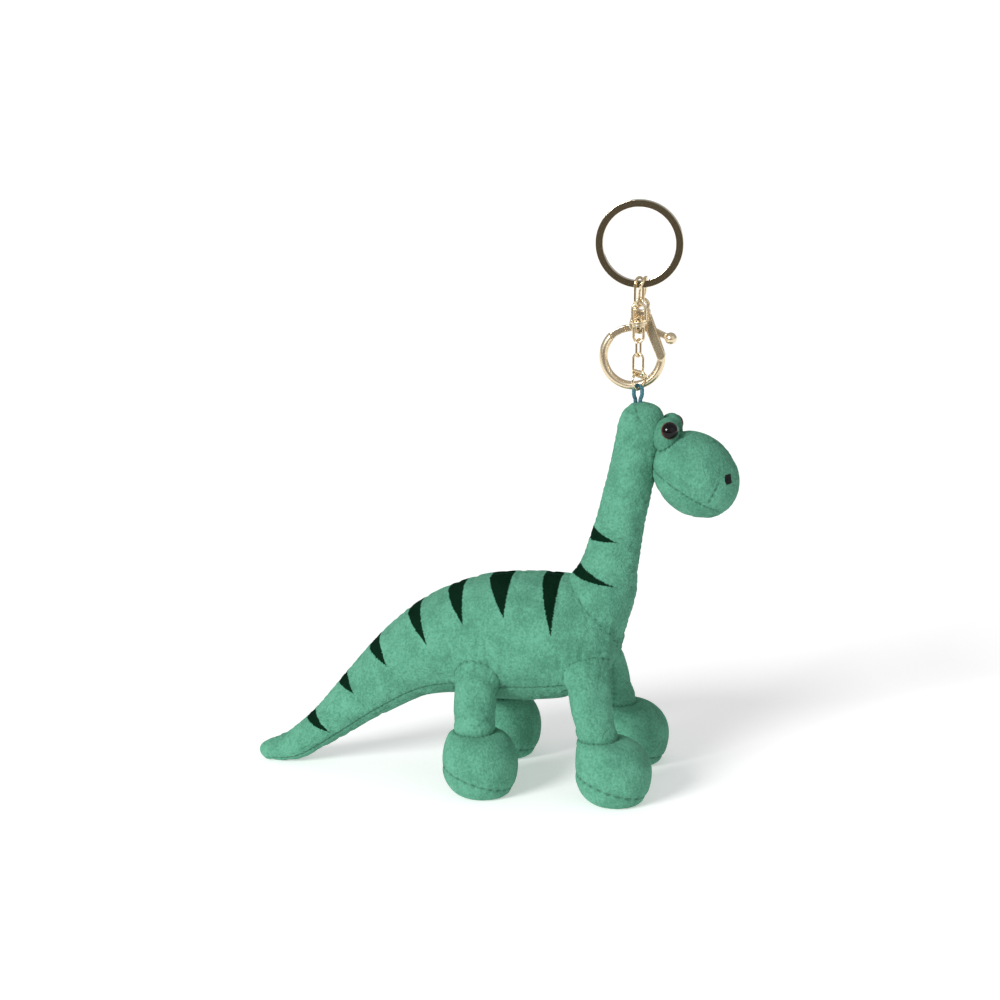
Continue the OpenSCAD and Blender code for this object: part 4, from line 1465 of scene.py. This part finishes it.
@dataclass(frozen=True)
class Studio:
    """Pale floor, soft light and the camera.

    Attributes:
        azimuth: Camera's turn from straight ahead of the near side, in degrees.
        elevation: Camera's height angle, in degrees.
        distance: Distance of the camera from its target.
        target: Point that the camera looks at.
        lens: Focal length for a 36 mm sensor.
    """

    azimuth: float = 11.0
    elevation: float = 12.5
    distance: float = 0.9
    target: tuple[float, float, float] = (0.0027, 0.0, 0.1)
    lens: float = 92.8

    def build(self) -> None:
        """Make the floor, the lights, the sky and the camera."""
        self.camera()
        self.floor()
        self.light()
        self.sky()
        bpy.context.scene.view_settings.view_transform = "Standard"

    def camera(self) -> None:
        """Camera on a sphere round its target."""
        a, e = math.radians(self.azimuth), math.radians(self.elevation)
        way = Vector((math.sin(a) * math.cos(e), -math.cos(a) * math.cos(e), math.sin(e)))
        data = bpy.data.cameras.new("camera")
        data.lens, data.sensor_width = self.lens, 36.0
        data.clip_start, data.clip_end = 0.01, 100.0
        made = bpy.data.objects.new("camera", data)
        made.location = Vector(self.target) + way * self.distance
        made.rotation_euler = way.to_track_quat("Z", "Y").to_euler()
        bpy.context.scene.collection.objects.link(made)
        bpy.context.scene.camera = made

    def floor(self) -> None:
        """Wide pale floor that ends in front of the toy, with a weak glow of its own."""
        corners = np.array([[-9, -0.42, 0], [9, -0.42, 0], [9, 26, 0], [-9, 26, 0]], float)
        made = show(faces_to_mesh("floor", corners, [np.array([[0, 1, 2, 3]])]))
        g = Graph("pale floor")
        made.data.materials.append(g.surface({
            "Base Color": (0.9, 0.9, 0.9, 1.0),
            "Emission Color": (1.0, 1.0, 1.0, 1.0),
            "Emission Strength": 0.34,
            "Roughness": 0.9,
            "Specular IOR Level": 0.1,
        }))

    def light(self) -> None:
        """A broad soft light from the front left and a weak one from the right."""
        for name, way, power, angle in (
            ("key", (-0.46, -0.80, 0.385), 3.15, 22.0),
            ("fill", (0.75, -0.6, 0.3), 0.3, 60.0),
        ):
            data = bpy.data.lights.new(name, "SUN")
            data.energy, data.angle = power, math.radians(angle)
            made = bpy.data.objects.new(name, data)
            made.rotation_euler = Vector(way).to_track_quat("Z", "Y").to_euler()
            bpy.context.scene.collection.objects.link(made)

    def sky(self) -> None:
        """Pale room: bright above, dim low down, and white where the camera sees it."""
        world = bpy.data.worlds.new("studio")
        world.use_nodes = True
        tree = world.node_tree
        tree.nodes.clear()
        kinds = (
            "OutputWorld", "Background", "Background", "TexCoord", "SeparateXYZ", "MapRange", "Mix",
            "LightPath", "MixShader",
        )
        made = [tree.nodes.new(f"ShaderNode{kind}") for kind in kinds]
        out, room, seen, coords, parts, ramp, mix, ray, choice = made
        ramp.interpolation_type = "SMOOTHSTEP"
        ramp.inputs["From Min"].default_value = -0.1
        ramp.inputs["From Max"].default_value = 0.12
        mix.data_type = "RGBA"
        mix.inputs[6].default_value = (0.22, 0.18, 0.12, 1.0)
        mix.inputs[7].default_value = (1.0, 1.0, 1.0, 1.0)
        room.inputs["Strength"].default_value = 0.42
        seen.inputs["Color"].default_value = (1.0, 1.0, 1.0, 1.0)
        for source, goal in (
            (coords.outputs["Generated"], parts.inputs[0]),
            (parts.outputs["Z"], ramp.inputs["Value"]),
            (ramp.outputs["Result"], mix.inputs["Factor"]),
            (mix.outputs[2], room.inputs["Color"]),
            (ray.outputs["Is Camera Ray"], choice.inputs["Fac"]),
            (room.outputs["Background"], choice.inputs[1]),
            (seen.outputs["Background"], choice.inputs[2]),
            (choice.outputs["Shader"], out.inputs["Surface"]),
        ):
            tree.links.new(source, goal)
        bpy.context.scene.world = world


# ---------------------------------------------------------------- putting it together

NECK_STRIPES = (
    Stripe((37.1, 92.6), (35.5, 88.4), (45.2, 88.6), 1.35),
    Stripe((31.5, 79.8), (29.1, 75.9), (45.3, 73.1), 1.2),
)
BODY_STRIPES = (
    Stripe((18.9, 74.4), (25.3, 74.0), (24.4, 56.9)),
    Stripe((-0.2, 73.1), (7.9, 73.8), (7.5, 62.3)),
    Stripe((-14.6, 67.6), (-8.9, 70.0), (-7.1, 58.9)),
    Stripe((-29.2, 59.1), (-24.4, 62.1), (-20.1, 50.7)),
    Stripe((-44.3, 45.6), (-40.2, 50.4), (-35.4, 41.2)),
    Stripe((-55.2, 31.7), (-52.0, 35.5), (-48.3, 29.3)),
    Stripe((-67.9, 17.2), (-64.7, 20.9), (-57.9, 13.3)),
)
GOLD_NODES = [
    "jump_ring", "spare_link", "chain_link_lower", "chain_link_upper", "swivel_rivet",
    "front_ring_link", "rear_ring_link", "clasp_pin",
]
CASTINGS = (
    Casting("clasp_body", "clasp", 0.13, 18),
    Casting("clasp_lever", "lever", 0.13, 14),
    Casting("swivel_lower", "swivel_base", 0.11, 6),
    Casting("swivel_upper", "swivel_cage", 0.11, 6),
    Casting("split_ring", "key_ring", 0.1, 10, "ring"),
)
BROW_CENTRE = (61.2, 4.3, 127.3)
EYE_AXIS = (0.42, 0.87, 0.26)
EYE_SEAT = 3.9  # distance of an eye's seat from the brow's centre, in millimetres


def dress(node: str, material: bpy.types.Material) -> None:
    """Put a finish in all the material slots of a carried-over frame node."""
    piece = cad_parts[node]
    if not piece.data.materials:
        piece.data.materials.append(material)
    for slot in piece.material_slots:
        slot.material = material


def eye_gloss() -> bpy.types.Material:
    """Gloss of both eyes, whose brown rims lie round their seats in the brow pads."""
    seats, axes = [], []
    for side in Side:
        mirror = np.array([1.0, side.value, 1.0])
        way = np.array(EYE_AXIS) / np.linalg.norm(EYE_AXIS) * mirror
        seats.append(tuple(float(v) * MM for v in np.array(BROW_CENTRE) * mirror + EYE_SEAT * way))
        axes.append(tuple(float(v) for v in way))
    return EyeGloss("black eye", tuple(seats), tuple(axes)).build()


def main() -> None:
    """Build the looks in order."""
    logging.basicConfig(level=logging.INFO, format="%(message)s")
    Studio().build()
    green, deep = (0.121, 0.366, 0.247), (0.068, 0.232, 0.151)
    finishes = {
        "plush": Plush("plush", green, deep).build(),
        "trunk": Plush("plush with body stripes", green, deep, stripes=BODY_STRIPES).build(),
        "neck": Plush("plush with neck stripes", green, deep, stripes=NECK_STRIPES).build(),
        "brow": Plush("brow plush", (0.098, 0.305, 0.204), (0.058, 0.204, 0.132)).build(),
    }
    toy = Toy()
    toy.build(finishes)
    Cord().build(Thread("teal cord", (0.07, 0.26, 0.31), (0.01, 0.05, 0.065), 0.45).build())
    thread = Thread("black thread", (0.009, 0.013, 0.011), (0.002, 0.003, 0.003), 0.6, 0.03)
    Nostrils().build(toy.muzzle, thread.build())
    gold = Metal("pale gold", (0.83, 0.68, 0.44), (0.75, 0.62, 0.42)).build()
    for node in GOLD_NODES:
        dress(node, gold)
    metals = {
        "satin": Metal("satin gold", (0.86, 0.72, 0.50), (0.78, 0.66, 0.48), 0.27).build(),
        "ring": Metal("ring plating", (0.78, 0.70, 0.56), (0.70, 0.63, 0.50), 0.12).build(),
    }
    for casting in CASTINGS:
        casting.build(metals[casting.finish])
    dress("clasp_spring", Metal("spring steel", (0.6, 0.6, 0.62), (0.5, 0.5, 0.52), 0.2).build())
    eye = eye_gloss()
    white = Plain("white washer", (0.8, 0.8, 0.78), 0.6).build()
    for side in Side:
        dress(f"eye_{side.word}", eye)
        dress(f"eye_washer_{side.word}", white)


if __name__ == "__main__":
    main()
